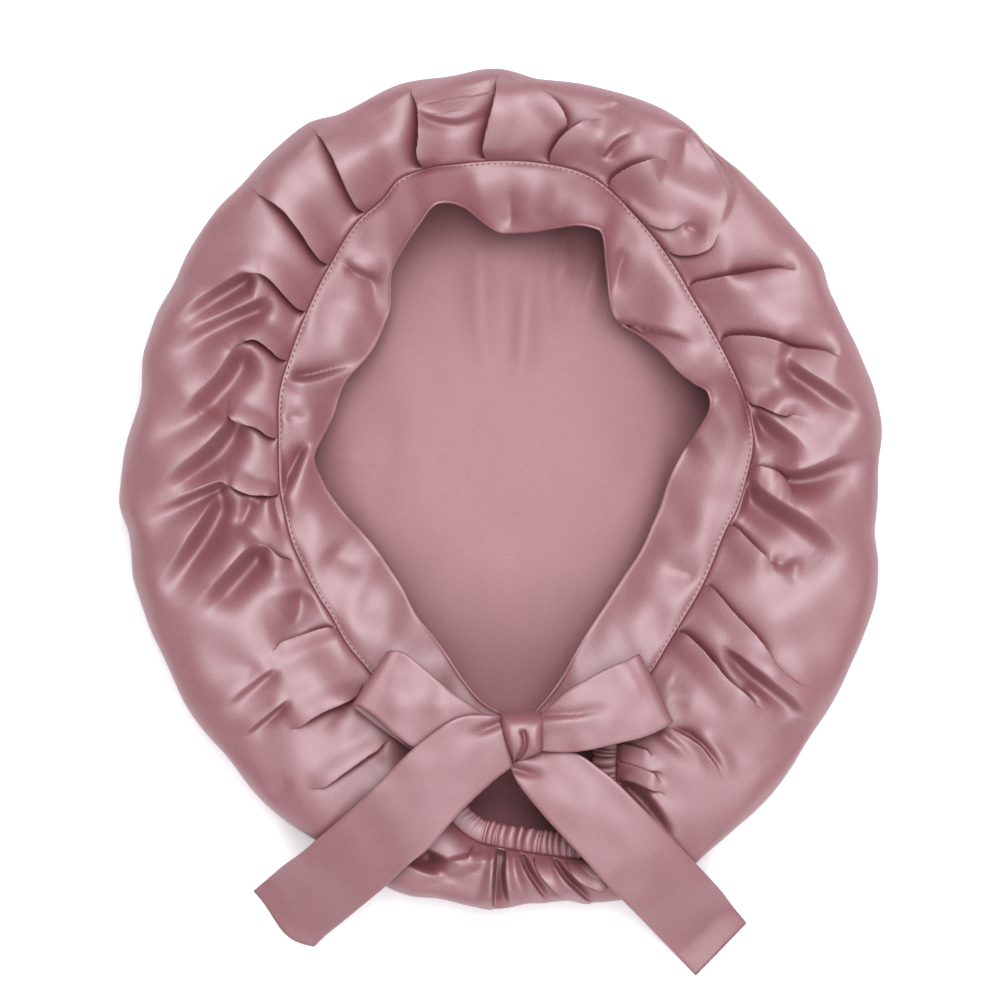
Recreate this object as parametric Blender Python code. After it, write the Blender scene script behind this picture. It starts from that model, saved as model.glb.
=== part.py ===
"""A satin sleep bonnet that lies on its crown with the mouth up.

The crown is one hollow puffed shell, gathered into a flat face band.  A gathered casing
closes the mouth at the nape, and the ends of the band are tied over it in a bow with two
loops and two tails.  The tables are in millimetres and degrees, the meshes in metres.
Angles run counter-clockwise round the middle of the mouth, from +X; the nape is at 270.
"""
import math

import bmesh
import bpy
import numpy as np

MM = 0.001

# Driving dimensions.
MOUTH = np.array((4.9, 17.9))     # plan position of the middle of the mouth
CROWN_CLOTH = 1.3                 # wall of the crown
BAND_CLOTH = 1.4                  # band and casing, both of doubled cloth
RIBBON_CLOTH = 1.2                # loops and tails
SEAM_GAP = 0.4                    # between pieces that are sewn together
CASING_WIDTH = 8.6
CASING_GATHERS = 17
CASING_RIPPLE = 0.9
CASING_DROP = 1.5                 # of its free edge below its seam
EDGE_HEIGHT = 15.0                # height at which the crown is widest
EDGE_ROLL = 11.0                  # how far the crown rolls in below its widest line
TOP_SQUARENESS = 2.8              # exponent of the puff's section, 2 is an ellipse
PUFF_START = 0.35                 # part of the ring's width over which the puff rises
DEEPEST_FOLD = 10.0
STEEP_SIDE = 0.55                 # a leaning fold's steep side, as a part of its width
FOLD_TROUGH = 0.7                 # depth of the trough beside it, as a part of its height
SEAM_HOLD = 2.0                   # distance over which the seam holds the folds flat
EDGE_HOLD = 0.8                   # part of the ring's width where folds start to turn out
EDGE_SHARE = 0.25                 # part of a fold's height that still shows at the edge
FOLD_RISE = 0.2                   # parts of a fold's length over which it starts and ends
FOLD_FALL = 0.3
COLUMNS = 150                     # mesh columns round the crown
TOP_ROWS = (0, 0.05, 0.15, 0.29, 0.45, 0.61, 0.76, 0.88, 0.965)    # parts of the ring's width
EDGE_TURNS = (0, 45, 90)          # degrees round the edge's roll, down to the floor
SHARP_ANGLE = 50

# The crown, one row for each section through the middle of the mouth.
SECTION_COLUMNS = ("angle", "seam", "seam_height", "edge", "puff_height")
SECTIONS = (
    (0, 97.4, 27, 153.0, 35),
    (10, 101.8, 28, 156.3, 36),
    (20, 102.4, 29, 154.7, 36),
    (30, 102.8, 29, 154.2, 37),
    (36, 103.7, 28, 158.0, 37),
    (45, 106.6, 28, 158.8, 37),
    (55, 113.3, 28, 160.9, 37),
    (65, 121.2, 29, 166.4, 38),
    (75, 130.0, 29, 168.0, 38),
    (86, 132.5, 27, 168.0, 36),
    (92, 132.9, 27, 172.2, 36),
    (100, 133.3, 29, 170.5, 36),
    (105, 134.2, 30, 171.8, 37),
    (110, 133.8, 30, 170.5, 37),
    (115, 128.3, 29, 169.3, 38),
    (120, 125.8, 28, 172.2, 38),
    (130, 117.5, 26, 168.0, 38),
    (140, 110.8, 26, 167.2, 37),
    (150, 106.2, 26, 163.4, 36),
    (160, 103.2, 27, 163.0, 35),
    (168, 99.5, 27, 158.8, 35),
    (176, 97.4, 26, 162.2, 34),
    (183, 96.6, 26, 164.3, 34),
    (188, 95.7, 26, 161.3, 34),
    (195, 95.3, 26, 163.4, 35),
    (205, 94.1, 26, 163.4, 36),
    (215, 94.1, 26, 165.9, 37),
    (225, 97.0, 27, 166.8, 37),
    (235, 100.3, 28, 171.0, 37),
    (243, 107.0, 28, 172.2, 36),
    (250, 119.1, 27, 176.0, 34),
    (256, 134.6, 26, 178.9, 33),
    (260, 144.6, 25, 177.7, 32),
    (264, 150.9, 24, 178.9, 32),
    (268, 153.0, 24, 179.7, 31),
    (273, 155.5, 24, 177.2, 31),
    (277, 158.0, 24, 177.2, 31),
    (281, 160.5, 25, 180.2, 31),
    (285, 153.8, 26, 181.4, 33),
    (288, 140.0, 27, 180.6, 34),
    (291, 126.2, 28, 179.7, 35),
    (295, 112.0, 28, 178.5, 36),
    (300, 103.7, 28, 174.7, 37),
    (306, 98.6, 28, 171.4, 38),
    (313, 94.5, 27, 168.5, 38),
    (320, 92.0, 27, 164.7, 38),
    (330, 90.7, 26, 161.8, 37),
    (340, 90.3, 26, 160.1, 36),
    (347, 91.5, 26, 157.2, 35),
    (353, 94.5, 26, 153.0, 35),
)

# The crown's main folds, one row each: height (a valley is negative), width, the side it
# leans to (1 counter-clockwise, -1 clockwise, 0 upright), and its path as (angle,
# distance out from the seam).
FOLDS = (
    (-9, 8, 0, ((2, 2), (357, 8), (352, 17), (350, 28), (347, 42), (344, 60))),
    (5, 7, 0, ((357, 16), (356, 31), (359, 44), (2, 56))),
    (-7, 6, 0, ((357, 23), (0, 35), (3, 47), (5, 57))),
    (-6, 6, 0, ((12, 4), (8, 6), (5, 13), (2, 28))),
    (5, 7, -1, ((19, 0), (16, 15), (15, 24), (10, 38), (7, 45))),
    (-6, 7, 0, ((21, 18), (16, 30), (13, 39), (10, 52))),
    (5, 7, 1, ((34, 0), (29, 15), (24, 26), (20, 46))),
    (5, 7, 1, ((48, 0), (43, 14), (39, 30), (36, 44))),
    (5, 7, 1, ((60, 0), (55, 8), (51, 20), (52, 34))),
    (5, 7, 1, ((71, 0), (68, 15), (64, 26))),
    (5, 7, 1, ((83, 0), (80, 15), (75, 26))),
    (6, 8, 1, ((95, 0), (93, 14), (92, 34))),
    (6, 8, 1, ((106, 0), (104, 18), (104, 34))),
    (-5, 7, 0, ((97, 34), (100, 32), (103, 33))),
    (6, 9, 1, ((119, 0), (119, 18), (119, 40))),
    (7, 9, 1, ((130, 0), (130, 22), (131, 44))),
    (6, 8, 1, ((141, 0), (140, 15), (140, 25), (144, 32))),
    (-6, 7, 0, ((142, 14), (148, 24), (153, 35), (158, 43))),
    (6, 7, 1, ((152, 0), (150, 14), (152, 24), (158, 32))),
    (-7, 7, 0, ((153, 21), (162, 28), (170, 41), (176, 55))),
    (5, 6, 1, ((169, 0), (167, 15), (168, 24))),
    (-8, 8, 0, ((168, 10), (173, 18), (178, 31), (181, 48), (184, 64))),
    (6, 7, -1, ((183, 0), (180, 20), (181, 32), (184, 48), (187, 62))),
    (-6, 6, 0, ((182, 27), (185, 39), (190, 55))),
    (-8, 8, 0, ((183, 10), (190, 19), (194, 34), (198, 51), (200, 65))),
    (5, 6, 1, ((193, 13), (197, 24), (200, 38), (204, 55))),
    (-6, 7, 0, ((197, 13), (200, 25), (204, 37), (208, 46))),
    (-5, 6, 0, ((214, 13), (212, 24), (213, 31))),
    (4, 6, 1, ((220, 0), (217, 16), (216, 30))),
    (-4, 6, 0, ((217, 41), (221, 54), (224, 60))),
    (6, 7, 1, ((234, 4), (231, 20), (228, 42))),
    (4, 7, 1, ((244, 12), (241, 29), (237, 52))),
    (-7, 7, 0, ((258, 10), (257, 20), (256, 33))),
    (4, 12, 0, ((262, 10), (263, 17))),
    (-5, 6, 0, ((268, 3), (268, 12), (268, 20))),
    (4, 5, 1, ((271, 2), (270, 8), (272, 16))),
    (4, 5, 1, ((275, 2), (274, 8), (276, 16))),
    (4, 5, 1, ((280, 2), (279, 8), (281, 15))),
    (-6, 6, 0, ((292, 16), (293, 32), (294, 50))),
    (-5, 6, 0, ((305, 30), (306, 45), (305, 54))),
    (7, 8, 1, ((318, 0), (317, 27), (318, 48))),
    (-5, 6, 0, ((319, 32), (320, 48), (320, 62))),
    (5, 8, 1, ((333, 0), (329, 25), (325, 44), (326, 66))),
    (5, 7, 1, ((349, 0), (344, 15), (341, 30))),
)

# The face band, one row for each section: the free edge over the mouth, its height, and
# how far the outer edge lies inside the crown's seam (0 where it is sewn on).
BAND_COLUMNS = ("angle", "free", "free_height", "unsewn")
BAND = (
    (-84.5, 97.0, 34, 52.5),
    (-75, 83.6, 30, 45.0),
    (-70, 76.9, 26, 21.0),
    (-65, 72.0, 23, 4.0),
    (-60, 68.6, 21, 0.0),
    (-50, 64.0, 19, 0.0),
    (-35, 61.4, 18, 0.0),
    (-20, 61.5, 18, 0.0),
    (-10, 63.1, 19, 0.0),
    (0, 65.6, 21, 0.0),
    (5, 68.6, 22, 0.0),
    (10, 73.2, 25, 0.0),
    (15, 80.3, 30, 0.0),
    (20, 87.4, 35, 0.0),
    (24, 89.0, 37, 0.0),
    (28, 85.7, 34, 0.0),
    (33, 82.8, 29, 0.0),
    (40, 81.9, 23, 0.0),
    (50, 80.3, 18, 0.0),
    (55, 79.4, 17, 0.0),
    (61, 84.4, 20, 0.0),
    (66, 96.6, 28, 0.0),
    (71, 109.9, 38, 0.0),
    (75, 109.5, 37, 0.0),
    (80, 106.6, 31, 0.0),
    (86, 103.7, 23, 0.0),
    (92, 103.2, 18, 0.0),
    (96, 107.4, 24, 0.0),
    (100, 115.0, 36, 0.0),
    (105, 118.7, 41, 0.0),
    (110, 112.9, 36, 0.0),
    (115, 106.6, 29, 0.0),
    (120, 100.3, 23, 0.0),
    (125, 88.6, 17, 0.0),
    (130, 83.6, 15, 0.0),
    (140, 79.4, 16, 0.0),
    (150, 80.7, 17, 0.0),
    (160, 79.4, 17, 0.0),
    (168, 81.5, 19, 0.0),
    (173, 83.2, 21, 0.0),
    (180, 79.4, 19, 0.0),
    (190, 72.3, 17, 0.0),
    (200, 66.0, 17, 0.0),
    (212, 63.1, 17, 0.0),
    (225, 64.4, 18, 0.0),
    (235, 69.4, 20, 0.0),
    (243, 72.8, 24, 0.0),
    (250, 78.2, 27, 10.4),
    (256, 85.3, 30, 26.0),
    (262, 92.8, 32, 42.0),
    (268.3, 97.8, 34, 48.1),
)
BAND_END_HEIGHT = 34.0            # of the whole band where it enters the knot
BAND_STEPS = 125
BAND_ROWS = 3
CASING_SPAN = (251.0, 292.5)
CASING_STEPS = 68

# Loops and tails, one row for each place along the ribbon: both edges in plan, and the
# height of each.
RIBBON_COLUMNS = ("x_a", "y_a", "z_a", "x_b", "y_b", "z_b")
LOOP_LEFT = (
    (-1.1, -80.6, 38.6, -1.1, -85.0, 38.6),
    (-14.0, -78.0, 39.8, -18.0, -90.0, 39.8),
    (-28.0, -65.0, 39.6, -35.0, -91.0, 39.6),
    (-41.0, -55.5, 39.6, -51.0, -84.5, 39.6),
    (-46.5, -52.5, 40.6, -61.5, -75.5, 40.6),
    (-47.6, -52.2, 43.0, -62.6, -74.8, 43.0),
    (-46.0, -52.6, 45.6, -60.5, -75.5, 45.6),
    (-40.0, -55.0, 47.6, -51.5, -85.0, 47.6),
    (-28.0, -63.5, 48.0, -37.5, -94.0, 47.4),
    (-13.0, -77.5, 46.2, -18.0, -91.0, 45.4),
    (-1.1, -80.4, 43.2, -1.1, -86.5, 43.2),
)
LOOP_RIGHT = (
    (17.4, -81.0, 38.6, 17.4, -89.0, 38.6),
    (28.0, -71.0, 39.8, 33.0, -92.0, 39.8),
    (46.0, -60.5, 39.6, 56.0, -89.0, 39.6),
    (54.0, -56.5, 40.6, 66.5, -84.0, 40.6),
    (56.2, -55.2, 43.0, 69.6, -82.6, 43.0),
    (54.0, -56.0, 45.6, 66.5, -84.0, 45.6),
    (46.0, -59.5, 47.8, 57.0, -89.5, 47.6),
    (35.0, -65.0, 48.2, 43.5, -92.5, 47.8),
    (27.0, -70.5, 46.6, 32.0, -94.0, 46.2),
    (17.4, -79.6, 43.2, 17.4, -91.5, 43.2),
)
TAIL_LEFT = (
    (-2.4, -87.8, 47.0, 2.3, -102.0, 44.0),
    (-13.6, -86.0, 49.5, -3.1, -106.6, 44.5),
    (-28.6, -85.7, 51.0, -13.6, -116.2, 44.0),
    (-37.8, -94.1, 50.4, -21.1, -123.7, 43.4),
    (-62.1, -118.7, 43.6, -38.7, -141.3, 42.4),
    (-74.2, -129.3, 38.0, -49.5, -151.7, 36.0),
    (-84.6, -138.8, 24.0, -60.8, -161.8, 22.0),
    (-93.0, -146.0, 9.0, -69.2, -169.3, 8.0),
    (-97.5, -150.0, 2.4, -73.2, -172.9, 2.2),
    (-104.3, -155.1, 0.7, -79.2, -178.1, 0.7),
)
TAIL_RIGHT = (
    (3.7, -102.7, 38.0, 18.5, -94.7, 38.0),
    (15.7, -119.5, 40.0, 36.6, -100.3, 40.0),
    (32.4, -137.9, 41.0, 57.5, -118.7, 42.4),
    (43.0, -149.8, 38.5, 68.8, -130.0, 40.5),
    (53.0, -160.0, 31.0, 77.8, -139.6, 33.5),
    (60.5, -168.0, 15.0, 85.2, -147.2, 18.0),
    (65.5, -173.4, 4.0, 89.5, -153.0, 5.0),
    (81.3, -190.2, 0.7, 102.2, -168.5, 0.7),
)
RIBBON_STEPS = 24
RIBBON_ROWS = 4

# The knot: a soft wedge, wide at the mouth side and narrow at the tails' side.
KNOT_CENTRE = (8.1, -89.6, 41.5)
KNOT_HALF_LENGTH = 10.6
KNOT_HALF_WIDTH = 10.4
KNOT_NARROWING = 0.36
KNOT_SLANT = 0.5                  # how far its narrow end is cut across, per width
KNOT_HALF_HEIGHT = 8.2
KNOT_SQUARENESS = 0.72
KNOT_CREASE = 2.2
KNOT_CREASE_WIDTH = 2.6
KNOT_SEGMENTS = 18
KNOT_RINGS = 10

SATIN = {"colour": (0.50, 0.27, 0.29, 1.0), "roughness": 0.38}


def column(table, names, name):
    """One named column of a table."""
    return np.array([row[names.index(name)] for row in table], dtype=float)


def smooth_between(at, places, values):
    """A cubic through all the values that doesn't swing past any of them."""
    steps = np.diff(values) / np.diff(places)
    slopes = np.gradient(values, places)
    least = np.minimum(abs(steps[:-1]), abs(steps[1:])) * (steps[:-1] * steps[1:] > 0)
    slopes[1:-1] = np.clip(slopes[1:-1], -3 * least, 3 * least)
    after = np.clip(np.searchsorted(places, at, side="right"), 1, len(places) - 1)
    before = after - 1
    span = places[after] - places[before]
    t = (at - places[before]) / span
    start = (2 * t ** 3 - 3 * t ** 2 + 1) * values[before]
    start_slope = (t ** 3 - 2 * t ** 2 + t) * span * slopes[before]
    end = (3 * t ** 2 - 2 * t ** 3) * values[after]
    end_slope = (t ** 3 - t ** 2) * span * slopes[after]
    return start + start_slope + end + end_slope


def section(name, angles):
    """A column of the crown's sections at any angles, smooth all the way round."""
    places = column(SECTIONS, SECTION_COLUMNS, "angle")
    values = column(SECTIONS, SECTION_COLUMNS, name)
    places = np.concatenate([places - 360, places, places + 360])
    return smooth_between(np.mod(angles, 360), places, np.tile(values, 3))


def smooth_step(t):
    """0 below 0, 1 above 1 and smooth between."""
    t = np.clip(t, 0, 1)
    return t * t * (3 - 2 * t)


def plan(angles, radii):
    """Plan positions from an angle and a distance from the middle of the mouth."""
    turn = np.radians(angles)
    return np.stack([MOUTH[0] + radii * np.cos(turn), MOUTH[1] + radii * np.sin(turn)], axis=-1)


def fold_path(path, steps=18):
    """A fold's path as a smooth line of plan positions."""
    angles = np.unwrap([math.radians(angle) for angle, _ in path])
    out = np.array([distance for _, distance in path], dtype=float)
    places = np.arange(len(path), dtype=float)
    at = np.linspace(0, len(path) - 1, steps)
    angles = np.degrees(smooth_between(at, places, angles))
    return plan(angles, section("seam", angles) + smooth_between(at, places, out))


def nearest_on(line, points):
    """Signed distance to a line (left of it is positive) and the place along it, 0 to 1."""
    best = np.full(points.shape[:-1], np.inf)
    side = np.zeros_like(best)
    along = np.zeros_like(best)
    for index, (start, end) in enumerate(zip(line[:-1], line[1:])):
        step = end - start
        reach = points - start
        t = np.clip(reach @ step / (step @ step), 0, 1)
        away = np.hypot(*np.moveaxis(reach - t[..., None] * step, -1, 0))
        nearer = away < best
        turn = step[0] * reach[..., 1] - step[1] * reach[..., 0]
        best = np.where(nearer, away, best)
        side = np.where(nearer, np.sign(turn), side)
        along = np.where(nearer, (index + t) / (len(line) - 1), along)
    return best * side, along


def fold_height(points):
    """Height that all the folds together give the crown's top at plan positions."""
    total = np.zeros(points.shape[:-1])
    for height, width, lean, path in FOLDS:
        distance, along = nearest_on(fold_path(path), points)
        from_seam = path[0][1] < SEAM_HOLD
        rise = 1.0 if from_seam else smooth_step(along / FOLD_RISE)
        amount = height * rise * smooth_step((1 - along) / FOLD_FALL)
        across = distance * lean if lean else distance
        steep = width * STEEP_SIDE if lean else width
        total += amount * np.exp(-(across / np.where(across > 0, steep, width)) ** 2)
        if lean:
            trough = np.exp(-((across - width) / steep) ** 2)
            total -= amount * FOLD_TROUGH * trough
    return DEEPEST_FOLD * np.tanh(total / DEEPEST_FOLD)


def crown_walls():
    """Both walls of the crown, as rows from the seam round the edge to the floor."""
    angles = np.arange(COLUMNS) * 360 / COLUMNS
    seam = section("seam", angles)
    edge = section("edge", angles)
    seam_height = section("seam_height", angles)
    puff_height = section("puff_height", angles)
    outer, inner = [], []
    for part in TOP_ROWS:
        radius = seam + part * (edge - seam)
        top = seam_height + (puff_height - seam_height) * smooth_step(part / PUFF_START)
        round_off = (1 - part ** TOP_SQUARENESS) ** (1 / TOP_SQUARENESS)
        height = EDGE_HEIGHT + (top - EDGE_HEIGHT) * round_off
        hold = 1 - np.exp(-((radius - seam) / SEAM_HOLD) ** 2)
        folds = hold * fold_height(plan(angles, radius))
        turned = smooth_step((part - EDGE_HOLD) / (1 - EDGE_HOLD))
        radius = radius + folds * EDGE_SHARE * turned
        height = height + folds * (1 - turned)
        outer.append((radius, height))
        inner.append((radius - CROWN_CLOTH * turned, height - CROWN_CLOTH * (1 - 0.5 * turned)))
    for turn in np.radians(EDGE_TURNS):
        radius = edge - EDGE_ROLL * (1 - math.cos(turn))
        height = np.full(COLUMNS, EDGE_HEIGHT * (1 - math.sin(turn)))
        outer.append((radius, height))
        inner.append((radius - CROWN_CLOTH * math.cos(turn), height + CROWN_CLOTH * math.sin(turn)))
    return [[np.column_stack([plan(angles, radius), height]) for radius, height in wall]
            for wall in (outer, inner)]


def seam_line(angles):
    """The seam in plan, straight from one column of the crown to the next."""
    step = 360 / COLUMNS
    before = np.floor(angles / step) * step
    start = plan(before, section("seam", before))
    end = plan(before + step, section("seam", before + step))
    return start + (end - start) * ((angles - before) / step)[:, None]


def inside_seam(angles, inset):
    """The seam, set in towards the mouth square to itself, as plan positions."""
    along = seam_line(angles + 0.5) - seam_line(angles - 0.5)
    along = along / np.hypot(*along.T)[:, None]
    inward = np.column_stack([-along[:, 1], along[:, 0]])
    return seam_line(angles) + inward * inset[:, None]


def band_surface():
    """The middle surface of the face band, from the knot round the mouth to the knot."""
    places = column(BAND, BAND_COLUMNS, "angle")
    angles = np.linspace(places[0], places[-1], BAND_STEPS)
    free = smooth_between(angles, places, column(BAND, BAND_COLUMNS, "free"))
    free_height = smooth_between(angles, places, column(BAND, BAND_COLUMNS, "free_height"))
    unsewn = np.interp(angles, places, column(BAND, BAND_COLUMNS, "unsewn"))
    seam = section("seam", angles)
    loose = smooth_step(unsewn / unsewn.max())
    sewn_height = section("seam_height", angles) - CROWN_CLOTH / 2
    height = sewn_height + (BAND_END_HEIGHT - sewn_height) * loose
    steepness = abs(free_height - height) / np.hypot(free_height - height, seam - free)
    sewn = inside_seam(angles, SEAM_GAP + BAND_CLOTH / 2 * steepness)
    loose_edge = seam - unsewn < np.hypot(*(sewn - MOUTH).T)
    outer = np.where(loose_edge[:, None], plan(angles, seam - unsewn), sewn)
    seam_edge = np.column_stack([outer, height])
    free_edge = np.column_stack([plan(angles, free), free_height])
    across = np.linspace(0, 1, BAND_ROWS)
    grid = [seam_edge + (free_edge - seam_edge) * t for t in across]
    return np.stack(grid, axis=1)


def casing_surface():
    """The gathered casing, rippled along its free edge."""
    angles = np.linspace(*CASING_SPAN, CASING_STEPS)
    count = np.linspace(0, CASING_GATHERS * 2 * math.pi, CASING_STEPS)
    grid = []
    for t in np.linspace(0, 1, BAND_ROWS):
        ripple = CASING_RIPPLE * np.sin(count) * t
        inset = np.full(CASING_STEPS, SEAM_GAP + CASING_WIDTH * t) + ripple
        height = section("seam_height", angles) - CROWN_CLOTH / 2 - CASING_DROP * t + ripple
        grid.append(np.column_stack([inside_seam(angles, inset), height]))
    return np.stack(grid, axis=1)


def ribbon_surface(table):
    """The middle surface of a ribbon from the edges in its table."""
    rows = np.array(table, dtype=float)
    lengths = np.linalg.norm(np.diff((rows[:, :3] + rows[:, 3:]) / 2, axis=0), axis=1)
    places = np.concatenate([[0], np.cumsum(lengths)])
    at = np.linspace(0, places[-1], RIBBON_STEPS)
    edges = np.column_stack([smooth_between(at, places, rows[:, k]) for k in range(6)])
    across = np.linspace(0, 1, RIBBON_ROWS)
    grid = [edges[:, :3] + (edges[:, 3:] - edges[:, :3]) * t for t in across]
    return np.stack(grid, axis=1)


def normals_of(grid):
    """Unit normals of a grid of points, from its neighbouring points."""
    along = np.gradient(grid, axis=0)
    across = np.gradient(grid, axis=1)
    normal = np.cross(along, across)
    return normal / np.linalg.norm(normal, axis=-1, keepdims=True)


def satin(name):
    """The cloth's material, one for each sub-part."""
    material = bpy.data.materials.new(name + "_satin")
    material.use_nodes = True
    shader = material.node_tree.nodes["Principled BSDF"]
    shader.inputs["Base Color"].default_value = SATIN["colour"]
    shader.inputs["Roughness"].default_value = SATIN["roughness"]
    shader.inputs["Metallic"].default_value = 0.0
    return material


def add_solid(name, bm):
    """Triangulate a closed bmesh, point its faces out and add it as a named object."""
    bmesh.ops.triangulate(bm, faces=bm.faces[:])
    bmesh.ops.recalc_face_normals(bm, faces=bm.faces[:])
    mesh = bpy.data.meshes.new(name)
    bm.to_mesh(mesh)
    bm.free()
    mesh.shade_smooth()
    mesh.set_sharp_from_angle(angle=math.radians(SHARP_ANGLE))
    mesh.materials.append(satin(name))
    solid = bpy.data.objects.new(name, mesh)
    bpy.context.scene.collection.objects.link(solid)
    return solid


def rings_of(bm, rows):
    """Vertices of several rows of points in millimetres."""
    return [[bm.verts.new(point * MM) for point in row] for row in rows]


def join_rings(bm, first, second):
    """A closed band of quads between two rings of vertices."""
    count = len(first)
    for k in range(count):
        after = (k + 1) % count
        bm.faces.new((first[k], first[after], second[after], second[k]))


def make_crown():
    """The hollow crown: two walls joined at the seam, each closed by a flat back."""
    bm = bmesh.new()
    outer_rows, inner_rows = crown_walls()
    outer = rings_of(bm, outer_rows)
    inner = rings_of(bm, inner_rows)
    for wall in (outer, inner):
        for first, second in zip(wall[:-1], wall[1:]):
            join_rings(bm, first, second)
        bm.faces.new(wall[-1])
    join_rings(bm, outer[0], inner[0])
    return add_solid("crown", bm)


def make_strip(name, grid, cloth):
    """A strip of cloth of even thickness about a middle surface."""
    offset = normals_of(grid) * cloth / 2
    bm = bmesh.new()
    sections = []
    for upper, lower in zip(grid + offset, grid - offset):
        loop = np.concatenate([upper, lower[::-1]])
        sections.append([bm.verts.new(point * MM) for point in loop])
    for first, second in zip(sections[:-1], sections[1:]):
        join_rings(bm, first, second)
    rows = grid.shape[1]
    for end in (sections[0], sections[-1]):
        for k in range(rows - 1):
            bm.faces.new((end[k], end[k + 1], end[2 * rows - 2 - k], end[2 * rows - 1 - k]))
    return add_solid(name, bm)


def make_knot():
    """The knot, a rounded wedge with a crease down its upper side."""
    bm = bmesh.new()
    bmesh.ops.create_uvsphere(bm, u_segments=KNOT_SEGMENTS, v_segments=KNOT_RINGS, radius=1)
    for vertex in bm.verts:
        x, y, z = (math.copysign(abs(c) ** KNOT_SQUARENESS, c) for c in vertex.co)
        low_end = (1 - y) / 2
        x = x * KNOT_HALF_WIDTH * (1 - KNOT_NARROWING * low_end)
        crease = KNOT_CREASE * math.exp(-(x / KNOT_CREASE_WIDTH) ** 2) * max(z, 0)
        z = z * KNOT_HALF_HEIGHT - crease
        corner = (x, y * KNOT_HALF_LENGTH + x * KNOT_SLANT * low_end, z)
        vertex.co = [(c + k) * MM for c, k in zip(corner, KNOT_CENTRE)]
    return add_solid("bow_knot", bm)


def main():
    """Clear the scene and build the bonnet's eight pieces."""
    for old in list(bpy.data.objects):
        bpy.data.objects.remove(old, do_unlink=True)
    make_crown()
    make_strip("face_band", band_surface(), BAND_CLOTH)
    make_strip("nape_casing", casing_surface(), BAND_CLOTH)
    make_knot()
    make_strip("bow_loop_left", ribbon_surface(LOOP_LEFT), RIBBON_CLOTH)
    make_strip("bow_loop_right", ribbon_surface(LOOP_RIGHT), RIBBON_CLOTH)
    make_strip("tie_tail_left", ribbon_surface(TAIL_LEFT), RIBBON_CLOTH)
    make_strip("tie_tail_right", ribbon_surface(TAIL_RIGHT), RIBBON_CLOTH)


main()
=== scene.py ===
"""How the satin sleep bonnet looks: its cloth, folds, seams, stitches and bow.

Every piece replaces the plain solid of the same name, in the same place.  The tables are
in millimetres and degrees, the meshes in metres.  Angles run counter-clockwise round the
middle of the mouth, from +X; the nape is at 270.
"""
import math

import bmesh
import bpy
import numpy as np
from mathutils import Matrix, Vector


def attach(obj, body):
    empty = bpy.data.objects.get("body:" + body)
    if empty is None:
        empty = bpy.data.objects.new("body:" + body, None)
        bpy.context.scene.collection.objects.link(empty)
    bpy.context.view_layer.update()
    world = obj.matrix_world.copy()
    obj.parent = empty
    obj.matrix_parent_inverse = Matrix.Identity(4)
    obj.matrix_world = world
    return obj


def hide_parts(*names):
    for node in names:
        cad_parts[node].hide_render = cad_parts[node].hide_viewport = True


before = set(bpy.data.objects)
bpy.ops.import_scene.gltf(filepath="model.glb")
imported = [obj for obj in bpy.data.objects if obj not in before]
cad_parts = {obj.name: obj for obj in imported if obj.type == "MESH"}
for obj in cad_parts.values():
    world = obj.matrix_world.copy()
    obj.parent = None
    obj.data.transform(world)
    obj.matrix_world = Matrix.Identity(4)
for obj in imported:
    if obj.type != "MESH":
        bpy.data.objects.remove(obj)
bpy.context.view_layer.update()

MM = 0.001

# Places and sizes.
MOUTH = np.array((4.9, 17.9))     # plan position of the middle of the mouth
PHOTO_STEP = 0.418                # millimetres in a thousandth of the photograph's width
PHOTO_MIDDLE = (502.5, 522)       # the frame's origin in the photograph, in those thousandths
BOW_SHIFT = np.array((0.9, 0.3, 0.0))   # from the tables of the bow to its place
CROWN_CLOTH = 1.2
BAND_CLOTH = 1.1
RIBBON_CLOTH = 0.7
SEAM_GAP = 0.25                   # between the crown's seam and the band's sewn edge
SEAM_DIP = 0.9                    # of the crown's first row below the band's edge
EDGE_HEIGHT = 15.0                # of the crown's widest line above the floor
EDGE_ROLL = 11.0                  # how far the side rolls in from there to the floor
TOP_SQUARENESS = 3.8              # of the curve from the puff down to the widest line
PUFF_START = 0.55                 # part of the way out where the puff is at full height
DEEPEST_FOLD = 15.0
STEEP_SIDE = 0.8                  # width of a pleat's steep face
WIDE_SIDE = 1.5                   # a pleat with a wider one doesn't lean over
FOLD_RISE = 0.25                  # part of its length over which a free fold rises
SOFT_FADE = 0.55                  # part over which a soft fold fades out
LEAN_FADE = 0.35                  # and a pleat
FOLD_SPREAD = (0.62, 0.6)         # a fold's width at its start and its gain, to its row's
OVERHANG = 2.0                    # how far another pleat's crest leans over its steep face
PLEAT_SHARE = 0.72                # of a pleat's height in the table
FOLD_TROUGH = 2.4                 # depth of the trough beside a pleat, against its crest
AT_SEAM = 2.2                     # a fold that starts nearer the seam has its height at once
SEAM_HOLD = 2.4                   # how far the seam holds the folds down
EDGE_HOLD = 0.93                  # part of the way out where the folds turn sideways
EDGE_SHARE = 0.35                 # of a fold's height that then stands out sideways

# A soft fold: how much wider than its row says, how steep, the share of its height that each
# of its millimetres adds, and the largest share.
VALLEY = (1.5, 1.4, 0.27, 1.7)
RIDGE = (1.9, 1.7, 0.25, 0.9)

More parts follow.
